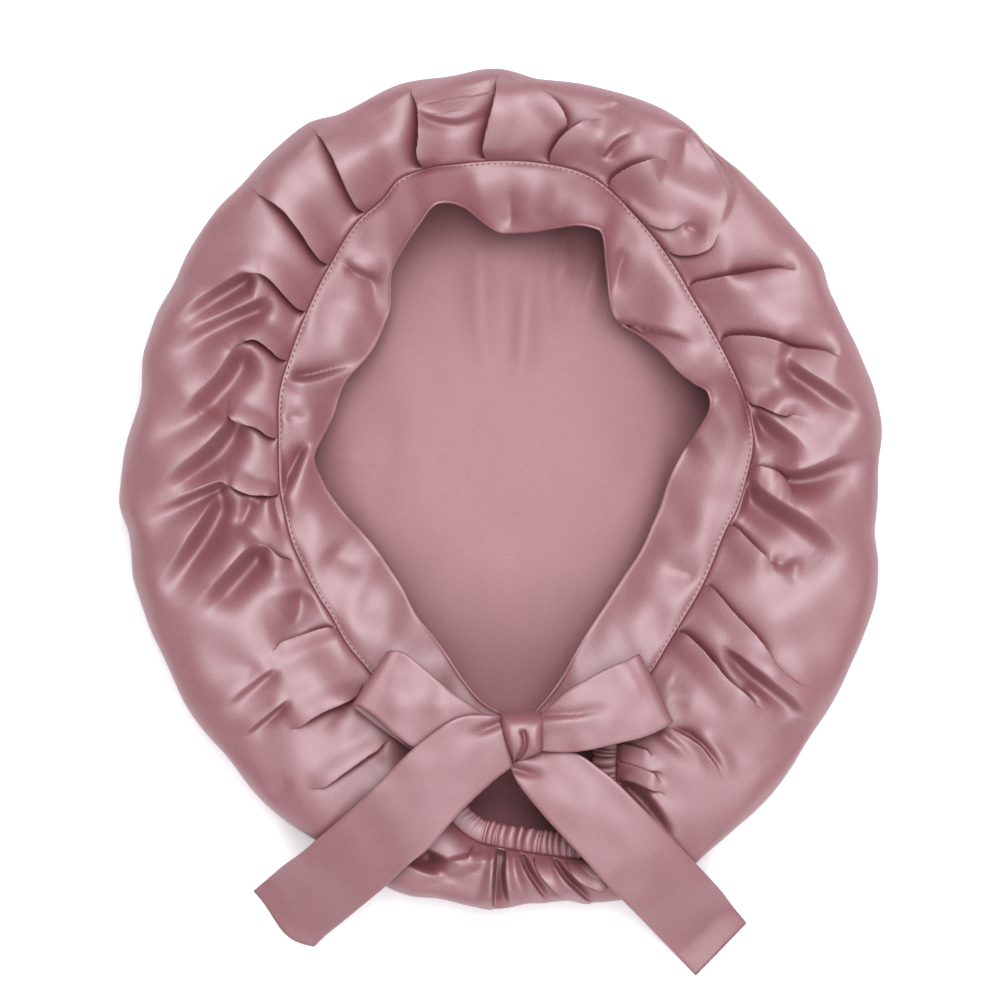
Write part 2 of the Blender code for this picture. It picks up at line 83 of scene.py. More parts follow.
# The crown's mesh.
COLUMNS = 1088
TOP_ROWS = 62
ROW_END = 0.985                   # part of the way to the edge where the last row lies
EDGE_ROWS = 9
START_ANGLE = 287.0               # where the columns begin, clear of the pleats
ANGLE_STEPS = 7201                # places at which their density is worked out
CREST_SHARE = 3.2                 # how much closer the columns stand along a pleat's crest
CREST_REACH = 2.2
CREST_RADIUS = 130                # about how far out the crests lie
LONG_FOLD = 12                    # a shorter pleat gets no closer columns
NAPE_SHARE = 1.1                  # how much closer they stand at the nape
NAPE_ANGLE = 274
NAPE_REACH = 20
INSIDE_ROWS = (0, 2, 5, 9, 14, 20, 27, 34, 41, 48, 54, 58)      # of the top, that it follows
INSIDE_LOW = (-6, -4, -3, -2, -1, 1, 2, 3, 4, 6)                # neighbours, that it stays under
INSIDE_EDGE_ROWS = 6
INSIDE_MARGIN = 1.8               # from the side to the inner wall
FLOOR_MARGIN = 1.6                # and from its foot to the cloth on the floor
FLOOR_PARTS = np.linspace(0.94, 0.34, 11)                       # rings of the cloth on the floor
CENTRE_RINGS = ((0.27, 4), (0.21, 4), (0.15, 8), (0.10, 8), (0.05, 16))     # and column step
BACK_PARTS = (0.97, 0.93, 0.86, 0.74, 0.5)                      # rings underneath

SECTION_COLUMNS = ("angle", "seam", "seam_height", "edge", "puff_height")
SECTIONS = (
    (0, 97.4, 27, 153, 35),
    (10, 101.8, 28, 156.3, 36),
    (20, 102.4, 29, 154.7, 36),
    (30, 102.8, 29, 154.2, 37),
    (36, 103.7, 28, 158, 37),
    (45, 106.6, 28, 158.8, 37),
    (55, 113.3, 28, 160.9, 37),
    (65, 121.2, 29, 166.4, 38),
    (75, 130, 29, 168, 38),
    (86, 132.5, 27, 168, 36),
    (92, 132.9, 27, 172.2, 36),
    (100, 133.3, 29, 170.5, 36),
    (105, 134.2, 30, 171.8, 37),
    (110, 133.8, 30, 170.5, 37),
    (115, 128.3, 29, 169.3, 38),
    (120, 125.8, 28, 172.2, 38),
    (130, 117.5, 26, 168, 38),
    (140, 110.8, 26, 167.2, 37),
    (150, 106.2, 26, 163.4, 36),
    (160, 103.2, 27, 163, 35),
    (168, 99.5, 27, 158.8, 35),
    (176, 97.4, 26, 162.2, 34),
    (183, 96.6, 26, 164.3, 34),
    (188, 95.7, 26, 161.3, 34),
    (195, 95.3, 26, 163.4, 35),
    (205, 94.1, 26, 163.4, 36),
    (215, 94.1, 26, 165.9, 37),
    (225, 97, 27, 166.8, 37),
    (235, 100.3, 28, 171, 37),
    (243, 107, 28, 172.2, 36),
    (250, 119.1, 27, 176, 34),
    (256, 134.6, 26, 178.9, 33),
    (260, 144.6, 25, 177.7, 32),
    (264, 150.9, 24, 178.9, 32),
    (268, 153, 24, 179.7, 31),
    (273, 155.5, 24, 177.2, 31),
    (277, 158, 24, 177.2, 31),
    (281, 160.5, 25, 180.2, 31),
    (285, 153.8, 26, 181.4, 33),
    (288, 138.5, 27, 180.6, 34),
    (291, 121.5, 28, 179.7, 35),
    (295, 108.5, 28, 178.5, 36),
    (300, 102, 28, 174.7, 37),
    (306, 98.6, 28, 171.4, 38),
    (313, 94.5, 27, 168.5, 38),
    (320, 92, 27, 164.7, 38),
    (330, 90.7, 26, 161.8, 37),
    (340, 90.3, 26, 160.1, 36),
    (347, 91.5, 26, 157.2, 35),
    (353, 94.5, 26, 153, 35),
)

# The crown's folds, one row each: height (a valley is negative), width, the side it falls
# to (1 left of its path, -1 right of it, 0 for a soft fold), its path as (angle, distance
# out from the seam), and the width of its steep face where that isn't STEEP_SIDE.
FOLDS = (
    # right side, from 30 to 50
    (4, 5, 1, ((33.8, 0), (31.7, 7.5), (29.2, 15), (26.7, 21), (24.4, 26), (22.7, 33.2), (21, 40),
        (19.5, 46.4))),
    (-5, 5, 0, ((27, 21), (24, 27.7), (22, 37.3), (20.5, 43.6))),
    (3, 5, 1, ((47.7, 0), (45.4, 6.7), (43.3, 14.2), (41.2, 21.7), (39.2, 30.5), (37.2, 39.3),
        (36, 44))),
    (-5, 3.5, 0, ((43.8, 16), (41.7, 23), (39.7, 31), (37.6, 40), (36.4, 45))),
    # upper right, from 50 to 90
    (1.5, 2, 0, ((91.5, 0), (89.2, 5.4), (87.1, 10.7), (85.8, 14.6), (84.7, 18.5))),
    # brow, from 90 to 140
    (5, 8, 1, ((94.7, 0), (94.2, 6.5), (93.3, 14), (92.5, 20.9), (91.8, 27.6), (91.6, 33.4),
        (92.2, 36.8))),
    (6, 8, 1, ((105.9, 0), (105.6, 6.7), (104.8, 11.7), (104, 19.4), (103.7, 26.5), (104, 32.4),
        (104.6, 35.2))),
    (5, 7, 1, ((118.8, 0), (119, 8), (118.8, 18), (118.5, 26), (118.5, 33.6), (118.9, 39.3),
        (119.8, 43.3))),
    (5.5, 7, 1, ((130.5, 0), (130.2, 9.2), (129.8, 18.2), (129.7, 27), (130.2, 35), (131, 42.4),
        (131.8, 46.4))),
    # left side, from 140 to 210
    (5, 5.5, 1, ((140.8, 0), (140.3, 8.5), (139.9, 13.8), (139.6, 19.6), (140, 24.7), (141.3, 29.4),
        (144, 31.8))),
    # lower left, from 210 to 250
    (1.5, 1.5, 0, ((220.5, 2.4), (226, 2.2), (231, 1.8))),
    (5, 5, 1, ((234, 4.6), (233.3, 11.5), (231.7, 18.6), (230.3, 24.5), (229.3, 30.7), (228.6, 37.2),
        (228.2, 41.6))),
    (-3, 4, 0, ((233.5, 15.5), (232.8, 26), (232.3, 36.5))),
    (3.5, 4, 1, ((245, 9.2), (242.5, 19.6), (240.8, 28.8), (239.2, 38.5), (237.9, 47.2), (236.3, 53))),
    (-2.5, 2.5, 0, ((234.4, 55.4), (233, 62.6), (233.8, 66.5))),
    # nape, from 250 to 295
    (-8, 5, 0, ((257.5, 18.8), (256.8, 31))),
    (4, 9, 0, ((262, 9), (263.2, 16))),
    (4, 3, 1, ((267.4, 0), (267.2, 12.3), (267.1, 22), (267, 30)), 1.6),
    (3.4, 2.8, -1, ((269.2, 0), (269, 9), (269.4, 17), (270.4, 26)), 1.6),
    (3.2, 2.2, 1, ((270.8, 0), (271.8, 8), (273.3, 15), (275.3, 23)), 1.6),
    (3.2, 2.4, -1, ((273.4, 0), (274.8, 8), (276.6, 14), (278.4, 19))),
    (3.4, 2.2, 1, ((275.6, 0), (277.2, 9), (279.2, 15.5), (281.6, 24)), 1.6),
    (3, 2.2, -1, ((278.1, 0), (279.7, 7), (282, 12.5), (283.9, 17))),
    (3, 2, 1, ((280.4, 0), (282.2, 6), (284.4, 11), (286, 17)), 1.6),
    (2, 1.6, -1, ((264.4, 0), (264, 5), (263.2, 9))),
)

# More folds, their paths read off the photograph in thousandths of its width, from the left
# and from the top.
SEEN_FOLDS = (
    # top and upper right
    (1.4, 5, -1, ((423, 106), (440, 117), (460, 119), (480, 111), (497, 97)), 4),
    (4, 5, -1, ((566, 141), (564, 123), (557, 109), (546, 98), (531, 88), (515, 79))),
    (4.5, 5, 1, ((552, 163), (559, 152), (566, 142), (577, 133), (590, 126), (605, 122))),
    (-2, 4, 0, ((612, 104), (614, 112), (611, 120))),
    (1.6, 4, -1, ((600, 160), (608, 150), (617, 141), (630, 134), (646, 129)), 3),
    (4, 5, 1, ((609, 189), (620, 180), (632, 173), (646, 168), (660, 164), (670, 166))),
    (-3.6, 5, 0, ((686, 130), (686, 145), (684, 162), (681, 178), (677, 192))),
    (1.8, 4, 1, ((662, 113), (680, 122), (696, 135), (708, 152), (720, 172), (728, 194), (722, 217),
        (708, 237)), 3),
    (2.5, 3, -1, ((631, 206), (641, 215), (652, 222), (665, 226), (678, 226), (690, 222))),
    (-3, 2, 0, ((684, 226), (693, 229), (700, 232), (708, 234))),
    (3.5, 4, -1, ((651, 236), (660, 244), (672, 250), (686, 252), (700, 250), (713, 242), (722, 230))),
    # right
    (3.5, 4, -1, ((743, 398), (752, 400), (762, 402), (771, 406), (780, 410), (790, 412), (800, 414))),
    (-3.2, 3.5, 0, ((774, 410), (786, 413), (797, 416), (808, 420), (820, 427))),
    (3, 5, 0, ((766, 397), (785, 400), (803, 404), (822, 413), (840, 426))),
    (3.8, 7, -1, ((783, 354), (800, 365), (818, 376), (838, 388), (862, 401), (885, 413)), 7),
    (4, 6, -1, ((754, 402), (766, 412), (782, 424), (800, 438), (822, 456)), 7),
    (2.5, 4, 1, ((748, 469), (757, 469), (767, 471), (776, 475), (784, 482), (790, 490), (799, 496))),
    (4.2, 8, -1, ((772, 462), (795, 468), (812, 464), (832, 455), (854, 447), (905, 433)), 7),
    (5.2, 9, -1, ((752, 471), (762, 485), (776, 496), (794, 506), (815, 518), (840, 538),
        (862, 566)), 9),
    (4, 5, 1, ((730, 522), (738, 533), (747, 543), (756, 552), (766, 560), (778, 567))),
    (-3, 2.6, 0, ((773, 563), (783, 562), (792, 567))),
    (2.5, 1.8, 0, ((791, 558), (796, 567), (793, 578), (789, 586))),
    # lower right
    (2.4, 5, 1, ((703, 580), (717, 597), (733, 616), (749, 632), (761, 646), (768, 656), (778, 669),
        (797, 682), (822, 690))),
    (5, 6, 1, ((680, 632), (697, 648), (713, 666), (724, 679), (737, 690), (750, 701), (765, 710))),
    (3.2, 5, -1, ((722, 640), (740, 652), (757, 666), (775, 680), (793, 693), (807, 707),
        (812, 724)), 5),
    (3, 1.2, 0, ((741, 690), (752, 690), (762, 699), (764, 709))),
    (-2, 3, 0, ((669, 680), (680, 685), (693, 695))),
    (-2, 3, 0, ((668, 703), (680, 704), (693, 708))),
    (1.8, 3, 1, ((668, 725), (688, 735), (704, 748), (715, 763), (721, 780)), 1.6),
    (3.5, 2, 0, ((690, 727), (707, 739), (720, 753), (728, 768), (731, 783))),
    (3.5, 1.2, 0, ((655, 725), (669, 737), (684, 748), (700, 760))),
    (-2, 5, 0, ((803, 712), (803, 727), (790, 743), (764, 759), (750, 774), (742, 795), (724, 826))),
    (-8, 2.2, 0, ((620, 780), (637, 793), (656, 813), (678, 842))),
    (3.5, 1.6, 0, ((646, 786), (660, 806), (676, 832))),
    (2.4, 1.8, 1, ((614, 748), (638, 749), (657, 755))),
    (2.6, 2.2, -1, ((614, 758), (641, 760), (668, 771))),
    (2.4, 1.8, 1, ((615, 768), (644, 770), (664, 780))),
    (2.6, 2, -1, ((617, 778), (644, 779), (671, 792))),
    # left
    (3.3, 6, 1, ((264, 269), (248, 271), (230, 280), (208, 293), (182, 311), (155, 336)), 6),
    (3.1, 6, 1, ((276, 292), (258, 300), (238, 308), (215, 318), (185, 334), (150, 358)), 6),
    (5, 5, 1, ((288, 359), (277, 347), (263, 337), (252, 336), (243, 340), (236, 349))),
    (4.8, 9, 1, ((244, 338), (233, 353), (220, 371), (200, 391), (177, 409), (112, 450)), 9),
    (4.5, 4, 1, ((277, 436), (267, 427), (257, 422), (243, 419), (232, 411), (226, 413))),
    (5.2, 9, 1, ((236, 409), (226, 424), (212, 440), (193, 455), (162, 474), (98, 508)), 8),
    (5, 4, 1, ((279.7, 492.5), (268, 490), (257, 490), (244, 486), (232, 480), (222, 480))),
    (3.8, 7, 1, ((234, 479), (222, 480), (207, 485), (190, 492), (168, 501), (105, 526)), 5),
    (5, 8, 1, ((228, 481), (214, 500), (200, 522), (184, 545), (167, 569), (140, 606)), 8),
    (3.5, 2.5, 0, ((264, 494), (272, 501), (276, 519), (281, 538), (288, 556))),
    (-4, 2, 0, ((277, 496), (281, 512), (287, 538))),
    (-5, 3, 0, ((256, 495), (251, 510), (244, 525), (237, 536))),
    (3.5, 3, -1, ((297, 560), (286, 562), (277, 557), (269, 549), (260.5, 539))),
    # lower left
    (5.2, 8, 1, ((263, 537), (251, 546), (236, 561), (220, 577), (204, 592), (172, 624)), 8),
    (-5.2, 5, 0, ((301, 584), (303, 598), (302, 612), (296, 623), (282, 629), (268, 634))),
    (3.5, 3.5, -1, ((336, 629), (323, 632), (310, 636), (298, 640), (285, 645), (273, 652))),
    (-2.2, 7, 0, ((262, 655), (252, 676), (247, 702), (240, 728))),
    (1.7, 4, 1, ((293, 695), (280, 705), (266, 716), (253, 726), (240, 737)), 2.4),
    (1.1, 5, 1, ((283, 662), (262, 674), (236, 694), (200, 715)), 4),
    (-2.6, 5, 0, ((394, 755), (376, 764), (358, 779), (344, 795), (333, 810))),
)

# Small tucks at the seam, drawn at random.
TUCKS = 110
TUCK_REACH = (3.0, 9.0)
TUCK_HEIGHT = (0.2, 0.6)
TUCK_WIDTH = (0.9, 2.0)
TUCK_TURN = 1.5                   # spread of the degrees they turn aside

# Slow random unevenness: height, shortest and longest wave, and how many waves there are.
TOP_WAVES = (0.07, (14.0, 48.0), 36)
WALL_WAVES = (0.22, (8.0, 32.0), 24)    # the gathers in the crown's side
FLOOR_WAVES = (0.05, (9.0, 30.0), 14)
BAND_WAVES = (0.07, (12.0, 40.0), 20)
RIBBON_WAVES = (0.045, (9.0, 30.0), 14)
DEEPEST_GATHER = 5.5
FLOOR_STRETCH = (1.0, 0.35)       # makes the wrinkles of the cloth inside run lengthwise
FLOOR_LIFT = 1.3                  # of this cloth above the back
FLOOR_RANGE = (-1.1, 2.5)
SEEDS = {"top": 11, "wall": 41, "floor": 3, "band": 29, "casing": 17}

# The face band: its free edge over the mouth, that edge's height, and how far its outer
# edge lies inside the crown's seam (0 where it is sewn on).
BAND_COLUMNS = ("angle", "free", "free_height", "unsewn")
BAND = (
    (-84.5, 97, 34, 52.5),
    (-75, 83.6, 30, 40),
    (-70, 76.9, 26, 17),
    (-65, 72, 23, 3),
    (-60, 68.6, 21, 0),
    (-50, 64, 19, 0),
    (-35, 61.4, 18, 0),
    (-20, 61.5, 18, 0),
    (-10, 63.1, 19, 0),
    (0, 65.6, 21, 0),
    (5, 68.6, 22, 0),
    (10, 73.2, 25, 0),
    (15, 80.3, 30, 0),
    (20, 87.4, 35, 0),
    (24, 89, 37, 0),
    (28, 85.7, 34, 0),
    (33, 82.8, 29, 0),
    (40, 81.9, 23, 0),
    (50, 80.3, 18, 0),
    (55, 79.4, 17, 0),
    (61, 84.4, 20, 0),
    (66, 96.6, 28, 0),
    (71, 109.9, 38, 0),
    (75, 109.5, 37, 0),
    (80, 106.6, 31, 0),
    (86, 103.7, 23, 0),
    (92, 103.2, 18, 0),
    (96, 107.4, 24, 0),
    (100, 115, 36, 0),
    (105, 118.7, 41, 0),
    (110, 112.9, 36, 0),
    (115, 106.6, 29, 0),
    (120, 100.3, 23, 0),
    (125, 88.6, 17, 0),
    (130, 83.6, 15, 0),
    (140, 79.4, 16, 0),
    (150, 80.7, 17, 0),
    (160, 79.4, 17, 0),
    (168, 81.5, 19, 0),
    (173, 83.2, 21, 0),
    (180, 79.4, 19, 0),
    (190, 72.3, 17, 0),
    (200, 66, 17, 0),
    (212, 63.1, 17, 0),
    (225, 64.4, 18, 0),
    (235, 69.4, 20, 0),
    (243, 72.8, 24, 0),
    (250, 78.2, 27, 10.4),
    (256, 85.3, 30, 26),
    (262, 92.8, 32, 42),
    (268.3, 97.8, 34, 48.1),
)
BAND_END_HEIGHT = 34.0
BAND_STEPS = 760
BAND_ROWS = 21
BAND_DOME = 1.6                   # how far the band's middle stands above its edges
STITCH_IN = 0.9                   # from the band's sewn edge to its stitches
STITCH_ROW = 6                    # the band's row that shows which way is inward
STITCH_PITCH = 2.5
STITCH_SIZE = (1.7, 0.45, 0.28)   # length, width and height
STITCH_DIP = 0.35                 # how deep they pull the band in
STITCH_SINK = 0.12                # how far a stitch's ends lie in the cloth
STITCH_RISE = 0.2                 # of its middle above them
STITCH_RINGS = ((0, 0.35), (0.2, 0.9), (0.5, 1.0), (0.8, 0.9), (1, 0.35))   # place, size

# Folds of the band, with their paths read off the photograph like the ones above.
BAND_FOLDS = (
    (3, 4, 0, ((709, 393), (722, 408), (738, 427), (755, 445))),
    (-3.6, 5, 0, ((672, 446), (690, 447), (706, 440))),
    (-3.4, 3, 0, ((628, 243), (622, 265), (617, 285), (611, 301))),
    (2.2, 4, -1, ((612, 316), (636, 322), (660, 328), (682, 334), (702, 342)), 2),
    (-3.6, 4, 0, ((514, 230), (512, 205), (510, 180))),
    (2.5, 4, 0, ((550, 220), (556, 200), (558, 176))),
    (1.6, 4, -1, ((346, 260), (362, 267), (378, 272), (395, 274)), 3),
    (-3.6, 5, 0, ((368, 268), (376, 288), (377, 308), (370, 328))),
    (2.4, 5, 1, ((285, 382), (307, 383), (332, 378), (354, 371), (378, 356)), 4),
    (2.6, 2.6, 0, ((284, 409), (302, 405), (315, 413), (314, 428), (302, 443))),
    (-2.2, 1.8, 0, ((288, 421), (298, 415), (310, 417))),
    (2.4, 5, -1, ((318, 440), (309, 460), (301, 480), (291, 500), (284, 515)), 5),
    (-3, 6, 0, ((328, 545), (345, 558), (360, 567), (374, 574))),
    (2.4, 6, 0, ((345, 640), (372, 622), (400, 606))),
    (-2.6, 5, 0, ((700, 580), (680, 570), (660, 575))),
)
BAND_RIM = 0.5                    # how far the free edge's bead stands up
SEWN_SPAN = (-66, 247)            # the angles between which the stitches run

# Faint folds of the cloth inside, given in the same way.
INSIDE_FOLDS = (
    (5, 2.4, 0, ((352, 415), (354, 460), (364, 510), (386, 560), (412, 600))),
    (4.5, 4, 0, ((432, 380), (424, 450), (432, 520), (452, 590))),
    (5, 2.2, 0, ((561, 226), (563, 262), (568, 300), (574, 345))),
    (5, 2.2, 0, ((606, 236), (598, 270), (592, 305), (588, 345))),
    (4, 3.5, 0, ((486, 230), (482, 310), (488, 400))),
    (4, 3.5, 0, ((530, 260), (526, 340), (518, 430))),
    (4.5, 4, 0, ((664, 400), (650, 460), (626, 520), (596, 580))),
)

# The nape casing.
CASING_SPAN = (251.0, 292.8)
CASING_STEPS = 560
CASING_ROWS = 13
CASING_WIDTH = 8.6
CASING_BULGE = 0.9
CASING_RIPPLE = 1.7
CASING_PLAIN = (256.0, 266.0)     # where the casing lies flat, without gathers
RIPPLE_PITCH = 2.1
CASING_JITTER = 1.2               # step of the free edge's small unevenness

# Loops and tails: both edges in plan, and the height of each.
RIBBON_STEPS = 96
RIBBON_ROWS = 21
LOOP_DOME = 0.8                   # how far a loop's middle stands above its edges
TAIL_DOME = 0.6
LOOP_TURN = 0.5                   # part of a loop's length from which it is its upper layer
TAIL_BULGE = 4.2                  # of the left tail's cut end
BULGE_SKEW = 1.7                  # puts this bulge nearer the tail's second edge
LOOP_LEFT = (
    (-2, -80.6, 38.8, -2, -90, 38.8),
    (-14, -78, 40, -16.5, -97, 40),
    (-28, -66, 40.2, -31.8, -96.4, 39.8),
    (-41, -56, 40.2, -45.3, -88.9, 39.6),
    (-46.6, -54, 41, -57.6, -79.6, 40.2),
    (-47.7, -53.7, 43, -62, -75.7, 42.2),
    (-46.2, -53.3, 45, -60.2, -75.3, 44.4),
    (-42.7, -53.5, 46, -53.5, -79.4, 45.6),
    (-35.1, -58.4, 47, -45, -87, 46.2),
    (-26.9, -65.5, 47.2, -34.5, -94.2, 46),
    (-19.2, -71.6, 46.8, -24, -98, 45),
    (-12.2, -76.6, 46, -13, -97.5, 44),
    (-7.5, -79.5, 45, -6, -94, 43.5),
    (-0.8, -80.2, 43.6, -0.8, -90, 43),
)
LOOP_RIGHT = (
    (17.4, -80, 38.8, 17.4, -94, 38.8),
    (26, -71.5, 40, 31, -93, 40),
    (46, -60.5, 40.2, 55.4, -87.6, 40),
    (54.5, -56, 41, 67.4, -83.9, 40.6),
    (56.6, -54.8, 43, 70.4, -82.3, 42.4),
    (55.8, -55.2, 45, 69.4, -83.2, 44.6),
    (52, -57.2, 46.4, 65.4, -85.6, 45.8),
    (46.9, -59.1, 47.2, 59.4, -88.2, 46.4),
    (36.3, -64.4, 47.4, 47.6, -91.2, 46.6),
    (25.6, -70.8, 46.8, 35, -94, 46.2),
    (19.4, -76.5, 45.6, 24.8, -95, 45),
    (15.8, -79.6, 44.2, 15.8, -94.4, 43.8),
)
TAIL_LEFT = (
    (-0.8, -80.6, 46.4, 4.2, -100.8, 42.5),
    (-9.3, -79.8, 48.2, -3, -106.2, 43.5),
    (-16.3, -80.4, 49.4, -9.5, -112, 43.6),
    (-21.1, -82.2, 49.8, -15, -117.2, 43.4),
    (-31.6, -89.5, 49, -21.2, -123.8, 42.6),
    (-37.8, -94.6, 48, -29.1, -133.3, 41.4),
    (-50, -107, 45, -38.7, -141.4, 37.6),
    (-62.1, -118.8, 40.2, -49.3, -151.6, 30.6),
    (-74.2, -129.6, 32.8, -59.6, -160.5, 21.6),
    (-84.6, -138.7, 23.2, -67.5, -167.3, 12.8),
    (-92.2, -144.5, 13, -72.5, -171.5, 6.6),
    (-97.5, -149.2, 6, -75.4, -174.2, 3.2),
    (-104.3, -155.1, 1, -79.2, -178.1, 1),
)
TAIL_RIGHT = (
    (2.6, -100.6, 39.4, 15.9, -94.2, 39.8),
    (6.5, -107.8, 40.4, 27.6, -95, 42),
    (15.7, -119.5, 41, 40.8, -102.8, 43.2),
    (32.4, -137.9, 39, 57.5, -118.3, 42),
    (43, -149.8, 34.8, 68.6, -129.4, 37.8),
    (53, -160, 27.2, 77.6, -139.4, 31),
    (60.5, -168, 18, 85.6, -148, 22),
    (66.5, -174.5, 10, 91.4, -154.6, 12.6),
    (73, -181.4, 3.6, 96.4, -161.4, 4.6),
    (81.3, -190.2, 1, 102.2, -168.5, 1),
)
# Creases of the ribbons: height, width, and path as plan positions, on the upper layer.
TAIL_LEFT_CREASES = (
    (-3.2, 2, ((-0.5, -82.4), (-6.5, -85.2), (-11, -86), (-15, -85.4))),
    (1.4, 2.5, ((-0.5, -80.8), (-8, -81.8), (-15, -82.4))),
)
TAIL_RIGHT_CREASES = (
    (-3.4, 2, ((3.5, -101.6), (8, -103), (13.5, -104.4), (18, -104.6))),
    (1.6, 3, ((4, -99.5), (12, -100), (20, -101))),
)
LOOP_LEFT_CREASES = (
    (-1, 3.5, ((-1, -84), (-12, -84.5), (-24, -82))),
    (1.6, 9, ((-22, -78), (-36, -73))),
)
LOOP_RIGHT_CREASES = (
    (-2.2, 1.5, ((16.4, -79.6), (30.5, -79), (39, -77.2), (45, -76.6))),
    (1.8, 3.5, ((16.4, -83.5), (31, -82), (42, -79.8))),
)

# The knot: its sides in plan from the mouth's side down, and its height.
KNOT_COLUMNS = ("y", "left", "right", "height")
KNOT = (
    (-78.2, -0.4, 15.9, 36),
    (-78.9, -0.9, 16.4, 42),
    (-80.2, -0.9, 16.8, 46),
    (-82.2, -0.6, 17.5, 48.6),
    (-85, -0.2, 16.8, 49.8),
    (-88.5, 0.9, 16.3, 50),
    (-92, 2, 16.3, 49.2),
    (-95, 3, 15.8, 47.2),
    (-98, 3.9, 9.6, 44),
    (-100.4, 4.2, 5.6, 40.5),
)
KNOT_STEPS = 44
KNOT_ACROSS = 40
KNOT_UNDER = 36.0                 # level of its underside
KNOT_ROUND = 3.0                  # how far its sides round off
KNOT_RIM = 1.0                    # thickness at its lowest places
KNOT_CREASES = (
    (-2.8, 1, ((7.4, -85.2), (8.9, -88), (9.3, -91), (8.9, -93.4), (7.4, -96.2), (5.4, -99.6))),
    (0.45, 3.4, ((4.6, -84.5), (4.2, -90), (5, -96.5))),
    (0.5, 3.2, ((13.4, -85.5), (12.4, -91))),
)

# Colours, as linear values.
SATIN_COLOUR = (0.40, 0.117, 0.139, 1.0)
INSIDE_COLOUR = (0.47, 0.252, 0.266, 1.0)
# Painted shade: the base colour turns darker and redder where cloth lies near, in hollows, creases and
# under the band and bow.
PAINTED_SHADE_REACH = 0.02               # how far off, in metres, nearby cloth still paints shade into a hollow
PAINTED_SHADE_TINT = (0.66, 0.27, 0.29, 1.0)
INSIDE_PAINTED_SHADE_TINT = (0.55, 0.38, 0.4, 1.0)
THREAD_COLOUR = (0.13, 0.045, 0.05, 1.0)
FLOOR_COLOUR = (0.93, 0.93, 0.93, 1.0)
FLOOR_LEVEL = -0.0002             # in metres
SHEEN_TINT = (1.0, 0.93, 0.98, 1.0)
SATIN_IOR = 1.8
OPEN_RANGE = (0.4, 0.96)          # of the occlusion mask, from a shaded hollow to open cloth; it sets the painted shade and the added roughness
HOLLOW_DULL = 0.12                # how much rougher a hollow is
ROUGH_SPREAD = 0.05
WEAVE_SCALE = (1800.0, 500.0, 900.0)
WEAVE_DEPTH = 0.0002
GRAIN_SCALE = 1500.0
CLOUD_SCALE = 28.0                # of the slow changes of colour

# The lights, in metres: place, size and power.
LIGHTS = {
    "overhead": ((0.3, 0.9, 3.1), 2.2, 101),
    "nape_side": ((0.5, -2.2, 2.6), 2.0, 34),
}
LIGHT_COLOUR = (1.0, 0.985, 1.03)
LIGHT_TARGET = Vector((0, 0, 0.02))
ROOM_LOW = (0.34, 0.34, 0.35)
ROOM_HIGH = (0.37, 0.37, 0.39)

# The camera looks straight down, from far enough for the photograph's flat view.
VIEW_WIDTH = 0.418
VIEW_CENTRE = (-0.15 * MM, 9.5 * MM)
VIEW_LEVEL = 14 * MM
CAMERA_DISTANCE = 3.0
SENSOR = 36.0


def column(table, names, name):
    """One named column of a table."""
    return np.array([row[names.index(name)] for row in table], dtype=float)


def smooth_between(at, places, values):
    """A cubic through all the values that doesn't swing past any of them."""
    steps = np.diff(values) / np.diff(places)
    slopes = np.gradient(values, places)
    least = np.minimum(abs(steps[:-1]), abs(steps[1:])) * (steps[:-1] * steps[1:] > 0)
    slopes[1:-1] = np.clip(slopes[1:-1], -3 * least, 3 * least)
    after = np.clip(np.searchsorted(places, at, side="right"), 1, len(places) - 1)
    before = after - 1
    span = places[after] - places[before]
    t = (at - places[before]) / span
    start = (2 * t ** 3 - 3 * t ** 2 + 1) * values[before]
    start_slope = (t ** 3 - 2 * t ** 2 + t) * span * slopes[before]
    end = (3 * t ** 2 - 2 * t ** 3) * values[after]
    end_slope = (t ** 3 - t ** 2) * span * slopes[after]
    return start + start_slope + end + end_slope


def section(name, angles):
    """A column of the crown's sections at any angles, smooth all the way round."""
    places = column(SECTIONS, SECTION_COLUMNS, "angle")
    values = column(SECTIONS, SECTION_COLUMNS, name)
    places = np.concatenate([places - 360, places, places + 360])
    return smooth_between(np.mod(angles, 360), places, np.tile(values, 3))


def smooth_step(t):
    """0 below 0, 1 above 1 and smooth between."""
    t = np.clip(t, 0, 1)
    return t * t * (3 - 2 * t)


def plan(angles, radii):
    """Plan positions from an angle and a distance from the middle of the mouth."""
    turn = np.radians(angles)
    return np.stack([MOUTH[0] + radii * np.cos(turn), MOUTH[1] + radii * np.sin(turn)], axis=-1)


def smooth_line(points, steps=20):
    """A smooth line through a few plan positions."""
    points = np.array(points, dtype=float)
    places = np.arange(len(points), dtype=float)
    at = np.linspace(0, len(points) - 1, steps)
    return np.column_stack([smooth_between(at, places, points[:, k]) for k in (0, 1)])


def polar_line(path, steps=20):
    """A smooth line in plan from (angle, distance out from the seam) pairs."""
    angles = np.degrees(np.unwrap([math.radians(angle) for angle, _ in path]))
    line = smooth_line(np.column_stack([angles, [distance for _, distance in path]]), steps)
    return plan(line[:, 0], section("seam", line[:, 0]) + line[:, 1])


def photo_line(path):
    """A smooth line in plan through places read off the photograph."""
    return smooth_line(photo_places(path))


def photo_places(path):
    """Plan positions of places read off the photograph."""
    right, down = PHOTO_MIDDLE
    return [((u - right) * PHOTO_STEP, (down - v) * PHOTO_STEP) for u, v in path]


def photo_polar(path):
    """The same places by their angle and their distance out from the seam."""
    places = [np.array(place) - MOUTH for place in photo_places(path)]
    turns = [math.degrees(math.atan2(y, x)) % 360 for x, y in places]
    return tuple((turn, math.hypot(*place) - float(section("seam", np.array([turn]))[0]))
                 for turn, place in zip(turns, places))


def running_total(lengths):
    """The sum so far before each of some lengths, and after the last."""
    return np.concatenate([[0], np.cumsum(lengths)])


def run_along(points):
    """How far along a line each of its points lies."""
    return running_total(np.linalg.norm(np.diff(points, axis=0), axis=1))


